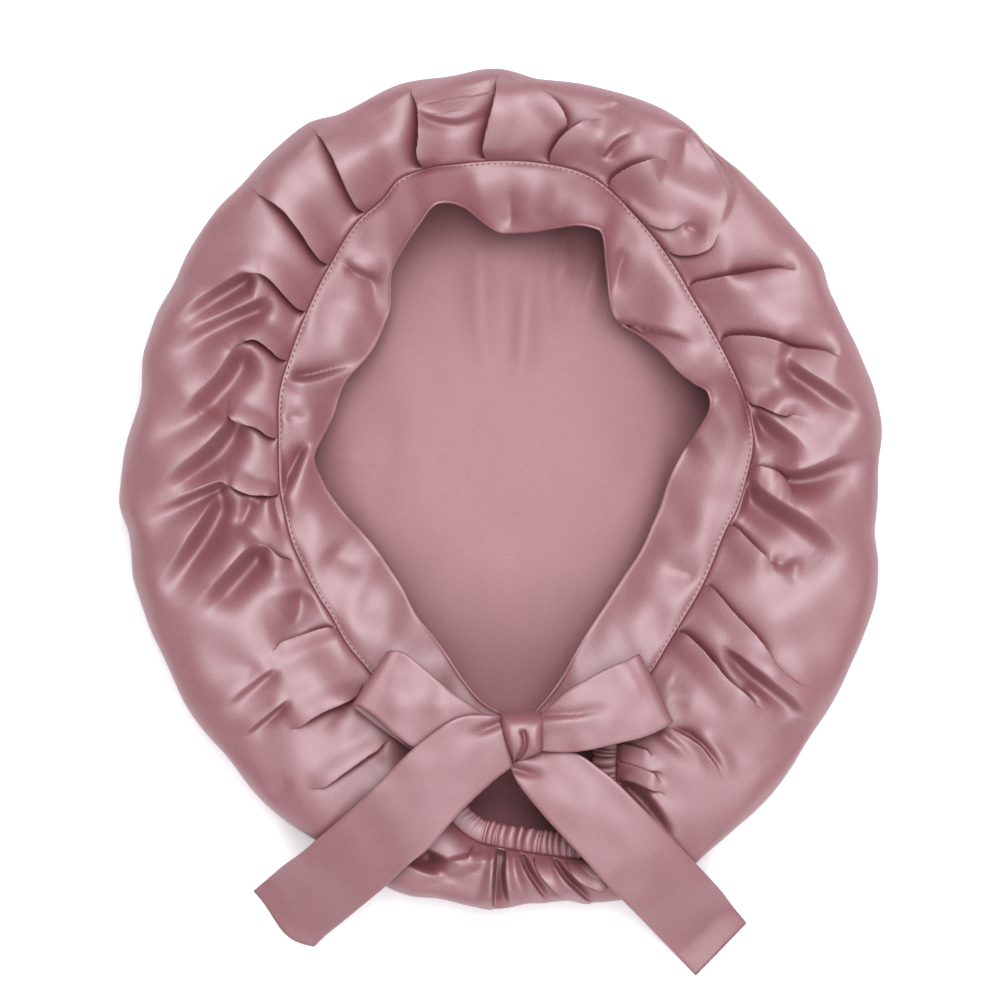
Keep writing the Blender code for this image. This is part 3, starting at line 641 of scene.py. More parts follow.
def nearest_on(line, points):
    """Signed distance to a line (left is positive), the place along it and its left side."""
    best = np.full(len(points), np.inf)
    side = np.zeros(len(points))
    along = np.zeros(len(points))
    left = np.zeros((len(points), 2))
    steps = np.diff(line, axis=0)
    normals = np.column_stack([-steps[:, 1], steps[:, 0]]) / np.hypot(*steps.T)[:, None]
    corners = np.vstack([normals[:1], normals[:-1] + normals[1:], normals[-1:]])
    corners /= np.hypot(*corners.T)[:, None]
    for index, (start, step) in enumerate(zip(line[:-1], steps)):
        reach = points - start
        t = np.clip(reach @ step / (step @ step), 0, 1)
        away = np.hypot(*(reach - t[:, None] * step).T)
        nearer = away < best
        turn = step[0] * reach[:, 1] - step[1] * reach[:, 0]
        best = np.where(nearer, away, best)
        side = np.where(nearer, np.sign(turn), side)
        along = np.where(nearer, (index + t) / len(steps), along)
        blend = corners[index] + (corners[index + 1] - corners[index]) * t[:, None]
        left = np.where(nearer[:, None], blend, left)
    return best * side, along, left


def add_fold(points, heights, pushes, row, line, from_seam):
    """Add one fold's height, and a leaning fold's sideways push, at the points near it."""
    height, width, lean, steep = row
    reach = 5 * width + 6
    low, high = line.min(axis=0) - reach, line.max(axis=0) + reach
    near = np.flatnonzero(((points > low) & (points < high)).all(axis=1))
    distance, along, left = nearest_on(line, points[near])
    rise = 1.0 if from_seam else smooth_step(along / FOLD_RISE)
    amount = rise * smooth_step((1 - along) / (LEAN_FADE if lean else SOFT_FADE))
    spread = width * (FOLD_SPREAD[0] + FOLD_SPREAD[1] * along)
    if not lean:
        wider, sharpness, share, most = VALLEY if height < 0 else RIDGE
        height = height * min(most, share * abs(height))
        heights[near] += height * amount * np.exp(-np.abs(distance / (spread * wider)) ** sharpness)
        return
    across = distance * lean
    away = np.abs(across)
    slow = 1.1 * spread
    wide = steep > WIDE_SIDE
    overhang = 0 if wide else OVERHANG
    steep = steep * (0.7 + 0.5 * along)
    beyond = np.maximum(across - steep, 0) if wide else away
    sharp = 0.1 if wide else 0.6
    high = np.exp(-(away / (1.15 * slow)) ** 2.2)
    low = (1 - sharp) * np.exp(-(beyond / (0.9 * slow)) ** 1.6)
    low += sharp * np.exp(-(beyond / (0.35 * slow)) ** 1.2)
    drop = smooth_step(across / steep)
    lift = (1.3 if wide else 1.0) * PLEAT_SHARE * height * amount
    trough = FOLD_TROUGH * smooth_step((1 - along) / 0.75)
    heights[near] += lift * (high * (1 - drop) - trough * low * drop)
    leaning = np.where(across > 0, 1 - drop, np.exp(-(across / (0.7 * slow)) ** 2))
    pushes[near] += left * (lean * overhang * smooth_step(lift / 2) * leaning)[:, None]


def folds_relief(points, folds, line_of):
    """Height and sideways push of a table's folds at plan positions."""
    heights, pushes = np.zeros(len(points)), np.zeros((len(points), 2))
    for height, width, lean, path, *steep in folds:
        row = (height, width, lean, steep[0] if steep else STEEP_SIDE)
        from_seam = line_of is polar_line and path[0][1] < AT_SEAM
        add_fold(points, heights, pushes, row, line_of(path), from_seam)
    return heights, pushes


def crown_folds():
    """The folds of both of the crown's tables, with their paths as in the first."""
    return FOLDS + tuple(row[:3] + (photo_polar(row[3]),) + row[4:] for row in SEEN_FOLDS)


def crown_relief(points):
    """Height and sideways push of all the crown's folds at plan positions."""
    flat = points.reshape(-1, 2)
    heights, pushes = folds_relief(flat, crown_folds(), polar_line)
    rng = np.random.default_rng(SEEDS["top"])
    for k in range(TUCKS):
        angle = (k + rng.random()) * 360 / TUCKS
        reach = rng.uniform(*TUCK_REACH)
        path = ((angle, 0), (angle + rng.normal(0, TUCK_TURN), reach))
        row = (rng.uniform(*TUCK_HEIGHT) * rng.choice((-1, 1)), rng.uniform(*TUCK_WIDTH), 0, 1)
        add_fold(flat, heights, pushes, row, polar_line(path, steps=4), True)
    heights = DEEPEST_FOLD * np.tanh(heights / DEEPEST_FOLD)
    heights += waves(flat, rng, *TOP_WAVES)
    return heights.reshape(points.shape[:-1]), pushes.reshape(points.shape)


def waves(points, seed, height, lengths, count):
    """Slow random unevenness, the long waves higher; the seed can be a generator in use."""
    rng = np.random.default_rng(seed)
    total = np.zeros(len(points))
    for _ in range(count):
        length = rng.uniform(*lengths)
        turn, phase = rng.uniform(0, 2 * math.pi, 2)
        across = points @ (math.cos(turn), math.sin(turn))
        total += height * length / lengths[0] * np.sin(2 * math.pi * across / length + phase)
    return total


def column_angles(parts):
    """Angles of the crown's columns, row by row: closer at the nape and along the pleats."""
    at = START_ANGLE + np.linspace(0, 360, ANGLE_STEPS)
    span = whole_turn(at, section("edge", at) - section("seam", at))
    nape = 1 + NAPE_SHARE * np.exp(-(((np.mod(at, 360) - NAPE_ANGLE) / NAPE_REACH) ** 4))
    pleats = [np.array(path, dtype=float) for _, _, lean, path, *_ in crown_folds()
              if lean and path[-1][1] > LONG_FOLD]
    rows = []
    for part in parts:
        density = nape.copy()
        for path in pleats:
            turns, outs = path[np.argsort(path[:, 1])].T
            turns = np.degrees(np.unwrap(np.radians(turns)))
            crest = turns[0]
            for _ in range(4):
                out = part * np.interp(np.mod(crest, 360), *span)
                crest = np.interp(out, outs, turns)
            away = np.radians(np.mod(at - crest + 180, 360) - 180) * CREST_RADIUS
            density += CREST_SHARE * np.exp(-(away / CREST_REACH) ** 2)
        share = running_total((density[1:] + density[:-1]) / 2)
        rows.append(np.interp(np.arange(COLUMNS) / COLUMNS, share / share[-1], at))
    return np.array(rows)


def whole_turn(at, values):
    """The same values in order of angle from 0 to 360."""
    order = np.argsort(np.mod(at, 360))
    return np.mod(at, 360)[order], values[order]


def crown_parts():
    """How far each row lies from the seam to the edge, as a part of the way."""
    return np.linspace(0, ROW_END, TOP_ROWS) ** 1.12


def crown_radii(angles):
    """The rows' parts of the way out, with the seam, the edge and their own radii."""
    seam, edge = section("seam", angles), section("edge", angles)
    part = crown_parts()[:, None]
    return part, seam, edge, seam + part * (edge - seam)


def level_row(angles, radii, level):
    """A row of points at one height."""
    return np.column_stack([plan(angles, radii), np.full(len(angles), level)])


def crown_top(angles, wall):
    """The crown's outer wall, rows of points from the seam over the puff to the floor."""
    part, seam, edge, radius = crown_radii(angles)
    seam_height, puff_height = section("seam_height", angles), section("puff_height", angles)
    places = plan(angles, radius)
    relief, push = crown_relief(places)
    hold = 1 - np.exp(-((radius - seam) / SEAM_HOLD) ** 2)
    turned = smooth_step((part - EDGE_HOLD) / (1 - EDGE_HOLD))
    rise = 1 - (1 - np.clip(part / PUFF_START, 0, 1)) ** 2.2
    top = seam_height + (puff_height - seam_height) * rise
    round_off = (1 - part ** TOP_SQUARENESS) ** (1 / TOP_SQUARENESS)
    height = EDGE_HEIGHT + (top - EDGE_HEIGHT) * round_off + hold * relief * (1 - turned)
    height -= SEAM_DIP * np.exp(-((radius - seam) / 0.6) ** 2)
    outward = (places - MOUTH) / radius[..., None]
    places = places + push * (hold * (1 - turned))[..., None]
    places = places + outward * (hold * relief * EDGE_SHARE * turned)[..., None]
    rows = [np.column_stack([p, h]) for p, h in zip(places, height)]
    for turn in np.linspace(0, math.pi / 2, EDGE_ROWS):
        out = edge[-1] - EDGE_ROLL * (1 - math.cos(turn)) + wall_folds(wall, turn)
        rows.append(level_row(angles[-1], out, EDGE_HEIGHT * (1 - math.sin(turn))))
    return rows


def wall_relief(angles):
    """The folds and the gathers with which the crown's side begins, at its widest line."""
    rim = plan(angles, section("edge", angles))
    gathers = waves(rim, SEEDS["wall"], *WALL_WAVES)
    gathers = np.minimum(gathers, 0) - 0.3 * np.abs(gathers)
    return crown_relief(rim)[0] * EDGE_SHARE, np.maximum(gathers, -DEEPEST_GATHER)


def wall_folds(wall, turn):
    """How far these move the side out or in, at a turn of its roll to the floor."""
    folds, gathers = wall
    return folds * math.cos(turn) ** 2 + gathers * math.sin(2 * turn) ** 0.6


def crown_inside(angles, outer, wall):
    """The crown's inner wall, every other column, rows from the seam to the mouth's middle."""
    heights = np.array([row[:, 2] for row in outer[:TOP_ROWS]])
    lowest = heights.copy()
    for shift in INSIDE_LOW:
        lowest = np.minimum(lowest, np.roll(heights, shift, axis=1))
    for shift in (1, 2):
        lowest[shift:] = np.minimum(lowest[shift:], heights[:-shift])
        lowest[:-shift] = np.minimum(lowest[:-shift], heights[shift:])
    part, _, edge, radius = crown_radii(angles)
    rows = []
    for k in INSIDE_ROWS:
        inward = CROWN_CLOTH * smooth_step((part[k] - EDGE_HOLD) / (1 - EDGE_HOLD)) + 0.1
        drop = CROWN_CLOTH if k else SEAM_DIP + 0.5
        rows.append(np.column_stack([plan(angles[k], radius[k] - inward), lowest[k] - drop]))
    angles, edge = angles[-1], edge[-1]
    for turn in np.linspace(0, math.pi / 2, INSIDE_EDGE_ROWS)[1:]:
        folds = np.minimum(wall_folds(wall, turn), 0)
        folds = np.min([np.roll(folds, shift) for shift in (-4, -2, 0, 2, 4)], axis=0)
        out = edge - INSIDE_MARGIN - EDGE_ROLL * (1 - math.cos(turn)) + folds
        up = CROWN_CLOTH + (EDGE_HEIGHT - CROWN_CLOTH) * (1 - math.sin(turn))
        rows.append(level_row(angles, out, up))
    start = edge - FLOOR_MARGIN - EDGE_ROLL
    rows += [floor_ring(angles, start * part) for part in FLOOR_PARTS]
    centre = [floor_ring(angles[::skip], start[::skip] * part) for part, skip in CENTRE_RINGS]
    return [row[::2] for row in rows], centre


def floor_ring(angles, radii):
    """One ring of the cloth that lies flat inside the crown."""
    places = plan(angles, radii)
    return np.column_stack([places, floor_height(places)])


def floor_height(places):
    """Height of the cloth that lies flat inside the crown, with its faint long wrinkles."""
    uneven = waves(places * FLOOR_STRETCH, SEEDS["floor"], *FLOOR_WAVES)
    folds = folds_relief(places, INSIDE_FOLDS, photo_line)[0]
    return CROWN_CLOTH + FLOOR_LIFT + np.clip(uneven, *FLOOR_RANGE) + folds


class Shape:
    """A mesh in the making: points in millimetres and faces with a material number."""

    def __init__(self):
        self.points = []
        self.faces = []
        self.materials = []

    def ring(self, points):
        """Add points and return their numbers."""
        start = len(self.points)
        self.points.extend(np.asarray(points).tolist())
        return list(range(start, start + len(points)))

    def face(self, corners, material=0):
        """Add one face."""
        self.faces.append(tuple(corners))
        self.materials.append(material)

    def join(self, first, second, material=0, closed=True):
        """Quads between two rows with as many points."""
        count = len(first)
        for k in range(count if closed else count - 1):
            after = (k + 1) % count
            self.face((first[k], first[after], second[after], second[k]), material)

    def sheet(self, rows, material=0, closed=True):
        """Rows of points with quads between them; returns the rows' numbers."""
        rings = [self.ring(row) for row in rows]
        for first, second in zip(rings[:-1], rings[1:]):
            self.join(first, second, material, closed)
        return rings

    def halve(self, first, second, material=0):
        """Faces between a ring and one of half as many points."""
        count = len(second)
        for k in range(count):
            a, b, c = first[2 * k], first[2 * k + 1], first[(2 * k + 2) % len(first)]
            d, e = second[k], second[(k + 1) % count]
            self.face((a, b, d), material)
            self.face((b, e, d), material)
            self.face((b, c, e), material)

    def make(self, name, materials):
        """The finished object, with its faces turned outward."""
        mesh = bpy.data.meshes.new(name)
        mesh.from_pydata([[c * MM for c in p] for p in self.points], [], self.faces)
        mesh.polygons.foreach_set("material_index", self.materials)
        for material in materials:
            mesh.materials.append(material)
        mesh.validate()
        solid = bmesh.new()
        solid.from_mesh(mesh)
        bmesh.ops.recalc_face_normals(solid, faces=solid.faces[:])
        solid.to_mesh(mesh)
        solid.free()
        mesh.shade_smooth()
        piece = bpy.data.objects.new(name, mesh)
        bpy.context.scene.collection.objects.link(piece)
        return piece


def make_crown(materials):
    """The gathered crown, satin outside and matt inside."""
    angles = column_angles(crown_parts())
    last = angles[-1]
    wall = wall_relief(last)
    shape = Shape()
    outer_rows = crown_top(angles, wall)
    outer = shape.sheet(outer_rows)
    back = outer[-1]
    radius = section("edge", last) - EDGE_ROLL
    for k, part in enumerate(BACK_PARTS):
        skip = 2 ** (k + 1)
        ring = shape.ring(level_row(last[::skip], radius[::skip] * part, 0.0))
        shape.halve(back, ring)
        back = ring
    shape.face(back)
    inner_rows, centre_rows = crown_inside(angles, outer_rows, wall)
    inner = shape.sheet(inner_rows, 1)
    shape.halve(outer[0], inner[0], 1)
    middle = inner[-1]
    for row in centre_rows:
        ring = shape.ring(row)
        fill = shape.join if len(ring) == len(middle) else shape.halve
        fill(middle, ring, 1)
        middle = ring
    shape.face(middle, 1)
    return shape.make("crown_cloth", materials)


def seam_inset(angles, inset):
    """The seam, set in towards the mouth square to itself, as plan positions."""
    before, middle, after = (plan(at, section("seam", at))
                             for at in (angles - 0.4, angles, angles + 0.4))
    along = (after - before) / np.hypot(*(after - before).T)[:, None]
    inward = np.column_stack([-along[:, 1], along[:, 0]])
    return middle + inward * np.broadcast_to(inset, angles.shape)[:, None]


def band_grid():
    """The middle surface of the face band, from the knot round the mouth to the knot."""
    places, free, free_height, unsewn = (column(BAND, BAND_COLUMNS, name) for name in BAND_COLUMNS)
    angles = np.linspace(places[0], places[-1], BAND_STEPS)
    free = smooth_between(angles, places, free)
    free_height = smooth_between(angles, places, free_height)
    unsewn = np.interp(angles, places, unsewn)
    seam = section("seam", angles)
    loose = smooth_step(unsewn / unsewn.max())
    sewn_height = section("seam_height", angles) - 0.4
    start_height = sewn_height + (BAND_END_HEIGHT - sewn_height) * loose
    sewn = seam_inset(angles, SEAM_GAP)
    loose_edge = seam - unsewn < np.hypot(*(sewn - MOUTH).T)
    start = np.where(loose_edge[:, None], plan(angles, seam - unsewn), sewn)
    finish = plan(angles, free)
    width = np.hypot(*(start - finish).T)
    grid = []
    for t in np.concatenate([[0, 0.03, 0.06], np.linspace(0.1, 0.93, BAND_ROWS - 6), [0.96, 0.98, 1]]):
        places = start + (finish - start) * t
        bend = 0.45 * t + 0.55 * t * t
        stitched = STITCH_DIP * np.exp(-((width * t - STITCH_IN) / 0.6) ** 2)
        height = start_height + (free_height - start_height) * bend
        height += (BAND_DOME * math.sin(math.pi * t) - stitched) * (1 - loose)
        height += band_relief(places) * smooth_step(t / 0.15)
        height += BAND_RIM * np.exp(-((1 - t) * width / 0.9) ** 2)
        grid.append(np.column_stack([places, height]))
    return np.stack(grid, axis=1)


def band_relief(points):
    """Height of the band's folds at plan positions."""
    uneven = waves(points, SEEDS["band"], *BAND_WAVES)
    return folds_relief(points, BAND_FOLDS, photo_line)[0] + uneven


def casing_grid():
    """The gathered casing's middle surface, ruched between its seam and its free edge."""
    angles = np.linspace(*CASING_SPAN, CASING_STEPS)
    seam = plan(angles, section("seam", angles))
    run = run_along(seam)
    rng = np.random.default_rng(SEEDS["casing"])
    pitches = RIPPLE_PITCH * rng.choice((0.45, 0.7, 1.0, 1.5, 2.1), int(run[-1] / 1.5))
    marks = running_total(pitches)
    tall = rng.uniform(0.35, 1.0, len(marks))
    bent = rng.normal(0, 0.5, len(marks))
    strength = 0.9 + 0.25 * np.sin(run / 5.3 + 2) + 0.2 * np.sin(run / 2.3)
    low, high = CASING_PLAIN
    plain = smooth_step((angles - low) / 1.5) * smooth_step((high - angles) / 1.5)
    strength = strength * (1 - 0.92 * plain)
    uneven = rng.normal(0, 0.35, int(run[-1] / CASING_JITTER) + 2)
    jitter = np.interp(run, np.arange(0, run[-1] + CASING_JITTER, CASING_JITTER), uneven)
    grid = []
    for t in np.linspace(0, 1, CASING_ROWS):
        shifted = run + (t - 0.4) * np.interp(run, marks, bent) + 0.5 * math.sin(3 * t)
        cell = np.clip(np.searchsorted(marks, shifted) - 1, 0, len(marks) - 2)
        part = np.clip((shifted - marks[cell]) / (marks[cell + 1] - marks[cell]), 0, 1)
        ripple = CASING_RIPPLE * strength * tall[cell] * (2 * np.sin(math.pi * part) ** 0.7 - 1)
        inset = 0.3 + CASING_WIDTH * t + t * t * (0.7 * ripple + jitter * (1 - 0.5 * plain))
        height = section("seam_height", angles) - 0.8 - 1.4 * t
        height = height + CASING_BULGE * math.sin(math.pi * t) ** 0.8 + ripple * (0.35 + 0.65 * t)
        grid.append(np.column_stack([seam_inset(angles, inset), height]))
    return np.stack(grid, axis=1)


def ribbon_grid(table, creases, dome, upper_from, seed, bulge=0.0):
    """The middle surface of a ribbon from the edges in its table, with its creases.

    It is domed and creased from upper_from of its length on: a loop's lower layer is plain.
    A tail's end can bulge by some millimetres.
    """
    rows = np.array(table, dtype=float)
    places = run_along((rows[:, :3] + rows[:, 3:]) / 2)
    at = np.linspace(0, places[-1], RIBBON_STEPS)
    edges = np.column_stack([smooth_between(at, places, rows[:, k]) for k in range(6)])
    grid = np.stack([edges[:, :3] + (edges[:, 3:] - edges[:, :3]) * t
                     for t in np.linspace(0, 1, RIBBON_ROWS)], axis=1)
    across = np.sin(np.linspace(0, math.pi, RIBBON_ROWS))
    away = (grid[-1] - grid[-6]).mean(axis=0) * (1, 1, 0)
    near_end = smooth_step((at / places[-1] - 0.8) / 0.2)[:, None]
    shape = np.sin(math.pi * np.linspace(0, 1, RIBBON_ROWS) ** BULGE_SKEW)
    grid += away / np.linalg.norm(away) * (bulge * near_end * shape)[..., None]
    flat = grid[..., :2].reshape(-1, 2)
    heights = waves(flat, seed, *RIBBON_WAVES)
    for height, width, path in creases:
        distance, along, _ = nearest_on(smooth_line(path), flat)
        heights += height * smooth_step((1 - along) / 0.8) * np.exp(-(distance / width) ** 2)
    upper = smooth_step((at / places[-1] - upper_from) / 0.08)[:, None] if upper_from else 1.0
    grid[..., 2] += (heights.reshape(grid.shape[:2]) + dome * across) * upper
    return grid + BOW_SHIFT


def normals_of(grid):
    """Unit normals of a grid of points, from its neighbouring points."""
    normal = np.cross(np.gradient(grid, axis=0), np.gradient(grid, axis=1))
    return normal / np.linalg.norm(normal, axis=-1, keepdims=True)


def beyond_edge(edge, beside, reach):
    """Points a little beyond a strip's long edge, which round it."""
    away = edge - beside
    return edge + away / np.linalg.norm(away, axis=1, keepdims=True) * reach


def make_strip(name, grid, cloth, materials):
    """A strip of cloth of even thickness about a middle surface, with rounded long edges."""
    offset = normals_of(grid) * cloth / 2
    first_side = beyond_edge(grid[:, 0], grid[:, 1], cloth / 2)
    last_side = beyond_edge(grid[:, -1], grid[:, -2], cloth / 2)
    shape = Shape()
    loops = shape.sheet([np.vstack([first, middle + away, last, (middle - away)[::-1]])
                         for first, middle, away, last in zip(first_side, grid, offset, last_side)])
    rows = grid.shape[1]
    for end in (loops[0], loops[-1]):
        top, bottom = end[1:rows + 1], end[rows + 2:][::-1]
        shape.face((end[0], top[0], bottom[0]))
        shape.join(top, bottom, closed=False)
        shape.face((top[-1], end[rows + 1], bottom[-1]))
    return shape.make(name, materials)


def make_knot(materials):
    """The ribbon that wraps round the bow's middle, narrow and creased at its lower end."""
    at = np.linspace(0, len(KNOT) - 1, KNOT_STEPS)
    places = np.arange(len(KNOT), dtype=float)
    along, left, right, height = (
        smooth_between(at, places, column(KNOT, KNOT_COLUMNS, name)) for name in KNOT_COLUMNS)
    top = np.stack([np.column_stack([left + (right - left) * t, along,
                                     height - KNOT_ROUND * abs(2 * t - 1) ** 7])
                    for t in np.linspace(0, 1, KNOT_ACROSS)], axis=1)
    flat = top[..., :2].reshape(-1, 2)
    heights = np.zeros(len(flat))
    for depth, width, path in KNOT_CREASES:
        distance, part, _ = nearest_on(smooth_line(path), flat)
        fade = smooth_step(part / 0.15) if depth < 0 else 1.0
        heights += depth * fade * np.exp(-(distance / width) ** 2)
    top[..., 2] += heights.reshape(top.shape[:2])
    bottom = top.copy()
    bottom[..., 2] = np.minimum(top[..., 2] - KNOT_RIM, KNOT_UNDER)
    shape = Shape()
    upper = shape.sheet(top + BOW_SHIFT, closed=False)
    lower = shape.sheet(bottom + BOW_SHIFT, closed=False)
    for side in (0, -1):
        shape.join([row[side] for row in upper], [row[side] for row in lower], closed=False)
        shape.join(upper[side], lower[side], closed=False)
    return shape.make("knot_cloth", materials)


def make_stitches(grid, materials):
    """The row of stitches along the band's sewn edge."""
    outer = grid[:, 0]
    inward = grid[:, STITCH_ROW] - outer
    line = outer + inward * (STITCH_IN / np.linalg.norm(inward, axis=1))[:, None]
    line[:, 2] = BAND_CLOTH / 2 + np.array([
        np.interp(STITCH_IN, np.linalg.norm(row[:, :2] - row[0, :2], axis=1), row[:, 2])
        for row in grid[:, :STITCH_ROW + 1]])
    places = column(BAND, BAND_COLUMNS, "angle")
    angles = np.linspace(places[0], places[-1], BAND_STEPS)
    line = line[(angles > SEWN_SPAN[0]) & (angles < SEWN_SPAN[1])]
    run = run_along(line)
    shape = Shape()
    for middle in np.arange(STITCH_PITCH / 2, run[-1], STITCH_PITCH):
        ends = [np.array([np.interp(middle + d, run, line[:, k]) for k in range(3)])
                for d in (-STITCH_SIZE[0] / 2, STITCH_SIZE[0] / 2)]
        add_stitch(shape, *ends)
    return shape.make("band_stitches", materials)


def add_stitch(shape, start, end):
    """One stitch: a short thread that dips into the cloth at both ends."""
    _, wide, high = STITCH_SIZE
    along = (end - start) / np.linalg.norm(end - start)
    side = np.cross((0, 0, 1), along)
    rings = []
    for t, scale in STITCH_RINGS:
        rise = STITCH_RISE * math.sin(math.pi * t) - STITCH_SINK
        centre = start + (end - start) * t + np.array((0, 0, rise))
        rings.append([centre + scale * (side * wide / 2 * math.cos(turn)
                                        + np.array((0, 0, high / 2 * math.sin(turn))))
                      for turn in np.radians((0, 60, 120, 180, 240, 300))])
    rings = shape.sheet(rings)
    shape.face(rings[0][::-1])
    shape.face(rings[-1])


def add_node(tree, kind, **values):
    """A shader node with values on its named sockets or properties."""
    node = tree.nodes.new(kind)
    for name, value in values.items():
        if name in node.inputs:
            node.inputs[name].default_value = value
        else:
            setattr(node, name, value)
    return node


def new_material(name, **values):
    """A material with values on its shader's sockets; returns it, its tree and its shader."""
    material = bpy.data.materials.new(name)
    material.use_nodes = True
    shader = material.node_tree.nodes["Principled BSDF"]
    for socket, value in values.items():
        shader.inputs[socket.replace("_", " ")].default_value = value
    return material, material.node_tree, shader


def add_ramp(tree, source, first, last, places=(0.0, 1.0)):
    """A colour ramp from one colour to another, driven by a node's output."""
    ramp = add_node(tree, "ShaderNodeValToRGB")
    for stop, colour, place in zip(ramp.color_ramp.elements, (first, last), places):
        stop.color = tuple(colour[:3]) + (1.0,)
        stop.position = place
    tree.links.new(source, ramp.inputs["Fac"])
    return ramp.outputs["Color"]


def add_noise(tree, place, **values):
    """A noise texture at a node's coordinates."""
    noise = add_node(tree, "ShaderNodeTexNoise", **values)
    tree.links.new(place, noise.inputs["Vector"])
    return noise.outputs["Fac"]


def map_range(tree, source, side, low, high):
    """A node's output mapped from or to a range, the other side being 0 to 1."""
    node = add_node(tree, "ShaderNodeMapRange", **{side + " Min": low, side + " Max": high})
    tree.links.new(source, node.inputs["Value"])
    return node.outputs["Result"]


def multiply_colours(tree, share, first, second):
    """Two colours multiplied, the second by its share; each is an output or a value."""
    mix = add_node(tree, "ShaderNodeMix", data_type="RGBA", blend_type="MULTIPLY")
    for socket, value in ((0, share), (6, first), (7, second)):
        if isinstance(value, bpy.types.NodeSocket):
            tree.links.new(value, mix.inputs[socket])
        else:
            mix.inputs[socket].default_value = value
    return mix.outputs[2]


def satin(name, colour, rough=0.54, gloss=1.0, sheen=0.02, weave=0.2, uneven=0.05,
          grain_share=0.7, reach=PAINTED_SHADE_REACH, painted_shade_colour=PAINTED_SHADE_TINT):
    """Woven satin: a fine weave, slow changes of colour, and painted shade that darkens and reddens
    its hollows.
    """
    material, tree, shader = new_material(name, Metallic=0.0, Sheen_Roughness=0.5,
                                          Sheen_Tint=SHEEN_TINT)
    shader.inputs["Sheen Weight"].default_value = sheen
    shader.inputs["Specular IOR Level"].default_value = gloss
    shader.inputs["IOR"].default_value = SATIN_IOR
    join = tree.links.new
    place = add_node(tree, "ShaderNodeTexCoord").outputs["Object"]
    cloud = add_noise(tree, place, Scale=CLOUD_SCALE, Detail=3.0, Roughness=0.55)
    shades = [[min(1.0, c * (1 + change)) for c in colour[:3]] for change in (-uneven, uneven)]
    cloth = add_ramp(tree, cloud, *shades, (0.3, 0.7))
    grain = add_noise(tree, place, Scale=GRAIN_SCALE, Detail=2.0, Roughness=0.7)
    # Painted shade: an ambient occlusion mask darkens and reddens the base colour in hollows and near
    # other cloth, and also roughens them.
    hollow = add_node(tree, "ShaderNodeAmbientOcclusion", samples=6, Distance=reach)
    open_part = map_range(tree, hollow.outputs["AO"], "From", *OPEN_RANGE)
    depth = add_node(tree, "ShaderNodeMath", operation="SUBTRACT")
    depth.inputs[0].default_value = 1.0
    join(open_part, depth.inputs[1])
    painted_shade_cloth = multiply_colours(tree, depth.outputs[0], cloth, painted_shade_colour)
    join(multiply_colours(tree, grain_share, painted_shade_cloth, grain), shader.inputs["Base Color"])
    shine = map_range(tree, grain, "To", rough - ROUGH_SPREAD, rough + ROUGH_SPREAD)
    dull = add_node(tree, "ShaderNodeMath", operation="MULTIPLY_ADD")
    dull.inputs[1].default_value = HOLLOW_DULL
    join(depth.outputs[0], dull.inputs[0])
    join(shine, dull.inputs[2])
    join(dull.outputs[0], shader.inputs["Roughness"])
    stretch = add_node(tree, "ShaderNodeMapping", Scale=WEAVE_SCALE)
    join(place, stretch.inputs["Vector"])
    weft = add_noise(tree, stretch.outputs["Vector"], Scale=1.0, Detail=2.0, Roughness=0.6)
    bump = add_node(tree, "ShaderNodeBump", Strength=weave, Distance=WEAVE_DEPTH)
    join(weft, bump.inputs["Height"])
    join(bump.outputs["Normal"], shader.inputs["Normal"])
    return material


def thread_material():
    """The darker thread of the stitches."""
    material, tree, shader = new_material("thread", Roughness=0.6)
    place = add_node(tree, "ShaderNodeTexCoord").outputs["Object"]
    fibre = add_noise(tree, place, Scale=GRAIN_SCALE, Detail=2.0)
    shades = [[c * change for c in THREAD_COLOUR[:3]] for change in (0.7, 1.4)]
    tree.links.new(add_ramp(tree, fibre, *shades), shader.inputs["Base Color"])
    return material


def dress(piece, node):
    """The piece rides on the root and stands for its node."""
    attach(piece, "root")
    if node:
        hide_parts(node)


def make_bonnet():
    """All the bonnet's pieces, each in place of its node's plain solid."""
    outside = satin("crown_satin", SATIN_COLOUR)
    # Inside, the painted shade reaches further: a painted shadow darkens the cloth near the band's
    # edges.
    inside = satin("inside_satin", INSIDE_COLOUR, rough=0.65, gloss=0.2, sheen=0.03, uneven=0.04,
                   grain_share=0.35, reach=0.07, painted_shade_colour=INSIDE_PAINTED_SHADE_TINT)
    band_satin, casing_satin, ribbon_satin = (
        satin(name, SATIN_COLOUR) for name in ("band_satin", "casing_satin", "ribbon_satin"))
    crown = make_crown([outside, inside])
    dress(crown, "crown")
    grid = band_grid()
    band = make_strip("band_cloth", grid, BAND_CLOTH, [band_satin])
    dress(band, "face_band")
    stitches = make_stitches(grid, [thread_material()])
    dress(stitches, None)
    casing = make_strip("casing_cloth", casing_grid(), BAND_CLOTH, [casing_satin])
    dress(casing, "nape_casing")
    ribbons = (
        ("loop_left_cloth", "bow_loop_left", (0.032, 0.12), "folded",
         (LOOP_LEFT, LOOP_LEFT_CREASES, LOOP_DOME, LOOP_TURN, 1)),
        ("loop_right_cloth", "bow_loop_right", (0.032, 0.11), "folded",
         (LOOP_RIGHT, LOOP_RIGHT_CREASES, LOOP_DOME, LOOP_TURN, 2)),
        ("tail_left_cloth", "tie_tail_left", (0.032, 0.14), "draped",
         (TAIL_LEFT, TAIL_LEFT_CREASES, TAIL_DOME, 0.0, 3, TAIL_BULGE)),
        ("tail_right_cloth", "tie_tail_right", (0.032, 0.14), "draped",
         (TAIL_RIGHT, TAIL_RIGHT_CREASES, TAIL_DOME, 0.0, 4)),
    )
    for name, node, flat, held, form in ribbons:
        piece = make_strip(name, ribbon_grid(*form), RIBBON_CLOTH, [ribbon_satin])
        dress(piece, node)
    knot = make_knot([ribbon_satin])
    dress(knot, "bow_knot")


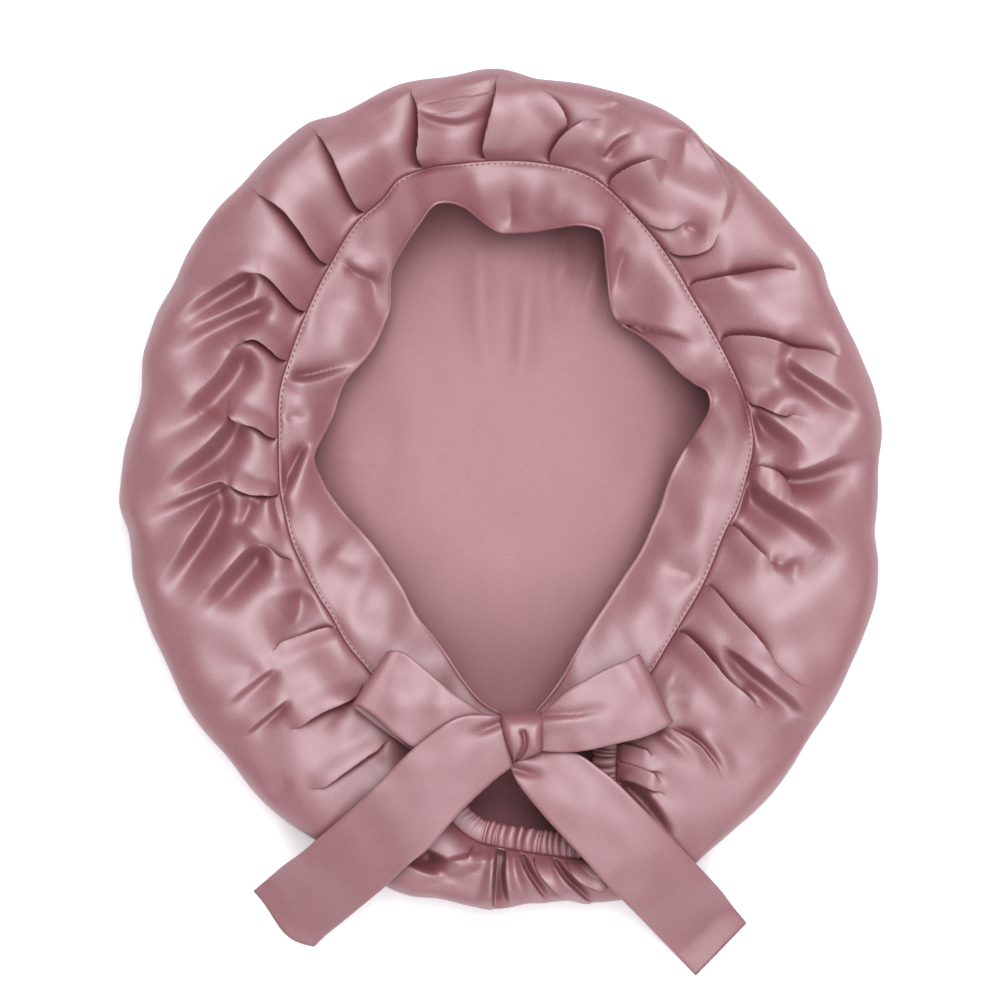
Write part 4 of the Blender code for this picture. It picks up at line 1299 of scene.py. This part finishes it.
def make_floor():
    """The plain pale floor."""
    corners = [(x, y, 0) for x, y in ((-3, -3), (3, -3), (3, 3), (-3, 3))]
    mesh = bpy.data.meshes.new("floor")
    mesh.from_pydata(corners, [], [(0, 1, 2, 3)])
    material, _, _ = new_material("floor_paper", Base_Color=FLOOR_COLOUR, Roughness=0.9,
                                  Emission_Color=(1, 1, 1, 1), Emission_Strength=0.3)
    mesh.materials.append(material)
    floor = bpy.data.objects.new("floor", mesh)
    floor.location.z = FLOOR_LEVEL
    bpy.context.scene.collection.objects.link(floor)


def add_light(name, place, size, power):
    """A soft square studio light, pointed at the bonnet."""
    data = bpy.data.lights.new(name, "AREA")
    data.energy = power
    data.size = size
    data.color = LIGHT_COLOUR
    light = bpy.data.objects.new(name, data)
    bpy.context.scene.collection.objects.link(light)
    light.location = place
    light.rotation_euler = (LIGHT_TARGET - Vector(place)).to_track_quat("-Z", "Y").to_euler()


def light_studio():
    """Soft light from above the brow's side and a little from the nape's, in a grey room."""
    world = bpy.data.worlds.new("room")
    world.use_nodes = True
    tree = world.node_tree
    place = add_node(tree, "ShaderNodeTexCoord")
    split = add_node(tree, "ShaderNodeSeparateXYZ")
    tree.links.new(place.outputs["Generated"], split.inputs["Vector"])
    grey = add_ramp(tree, split.outputs["Z"], ROOM_LOW, ROOM_HIGH, (0.0, 0.9))
    tree.links.new(grey, tree.nodes["Background"].inputs["Color"])
    bpy.context.scene.world = world
    for name, light in LIGHTS.items():
        add_light(name, *light)
    view = bpy.context.scene.view_settings
    view.view_transform = "Standard"
    view.look = "None"
    view.exposure = 0.0


def aim_camera():
    """Look straight down, as the photograph does."""
    data = bpy.data.cameras.new("camera")
    data.sensor_width = SENSOR
    data.lens = SENSOR * CAMERA_DISTANCE / VIEW_WIDTH
    camera = bpy.data.objects.new("camera", data)
    camera.location = (VIEW_CENTRE[0], VIEW_CENTRE[1], VIEW_LEVEL + CAMERA_DISTANCE)
    bpy.context.scene.collection.objects.link(camera)
    bpy.context.scene.camera = camera


aim_camera()
light_studio()
make_floor()
make_bonnet()
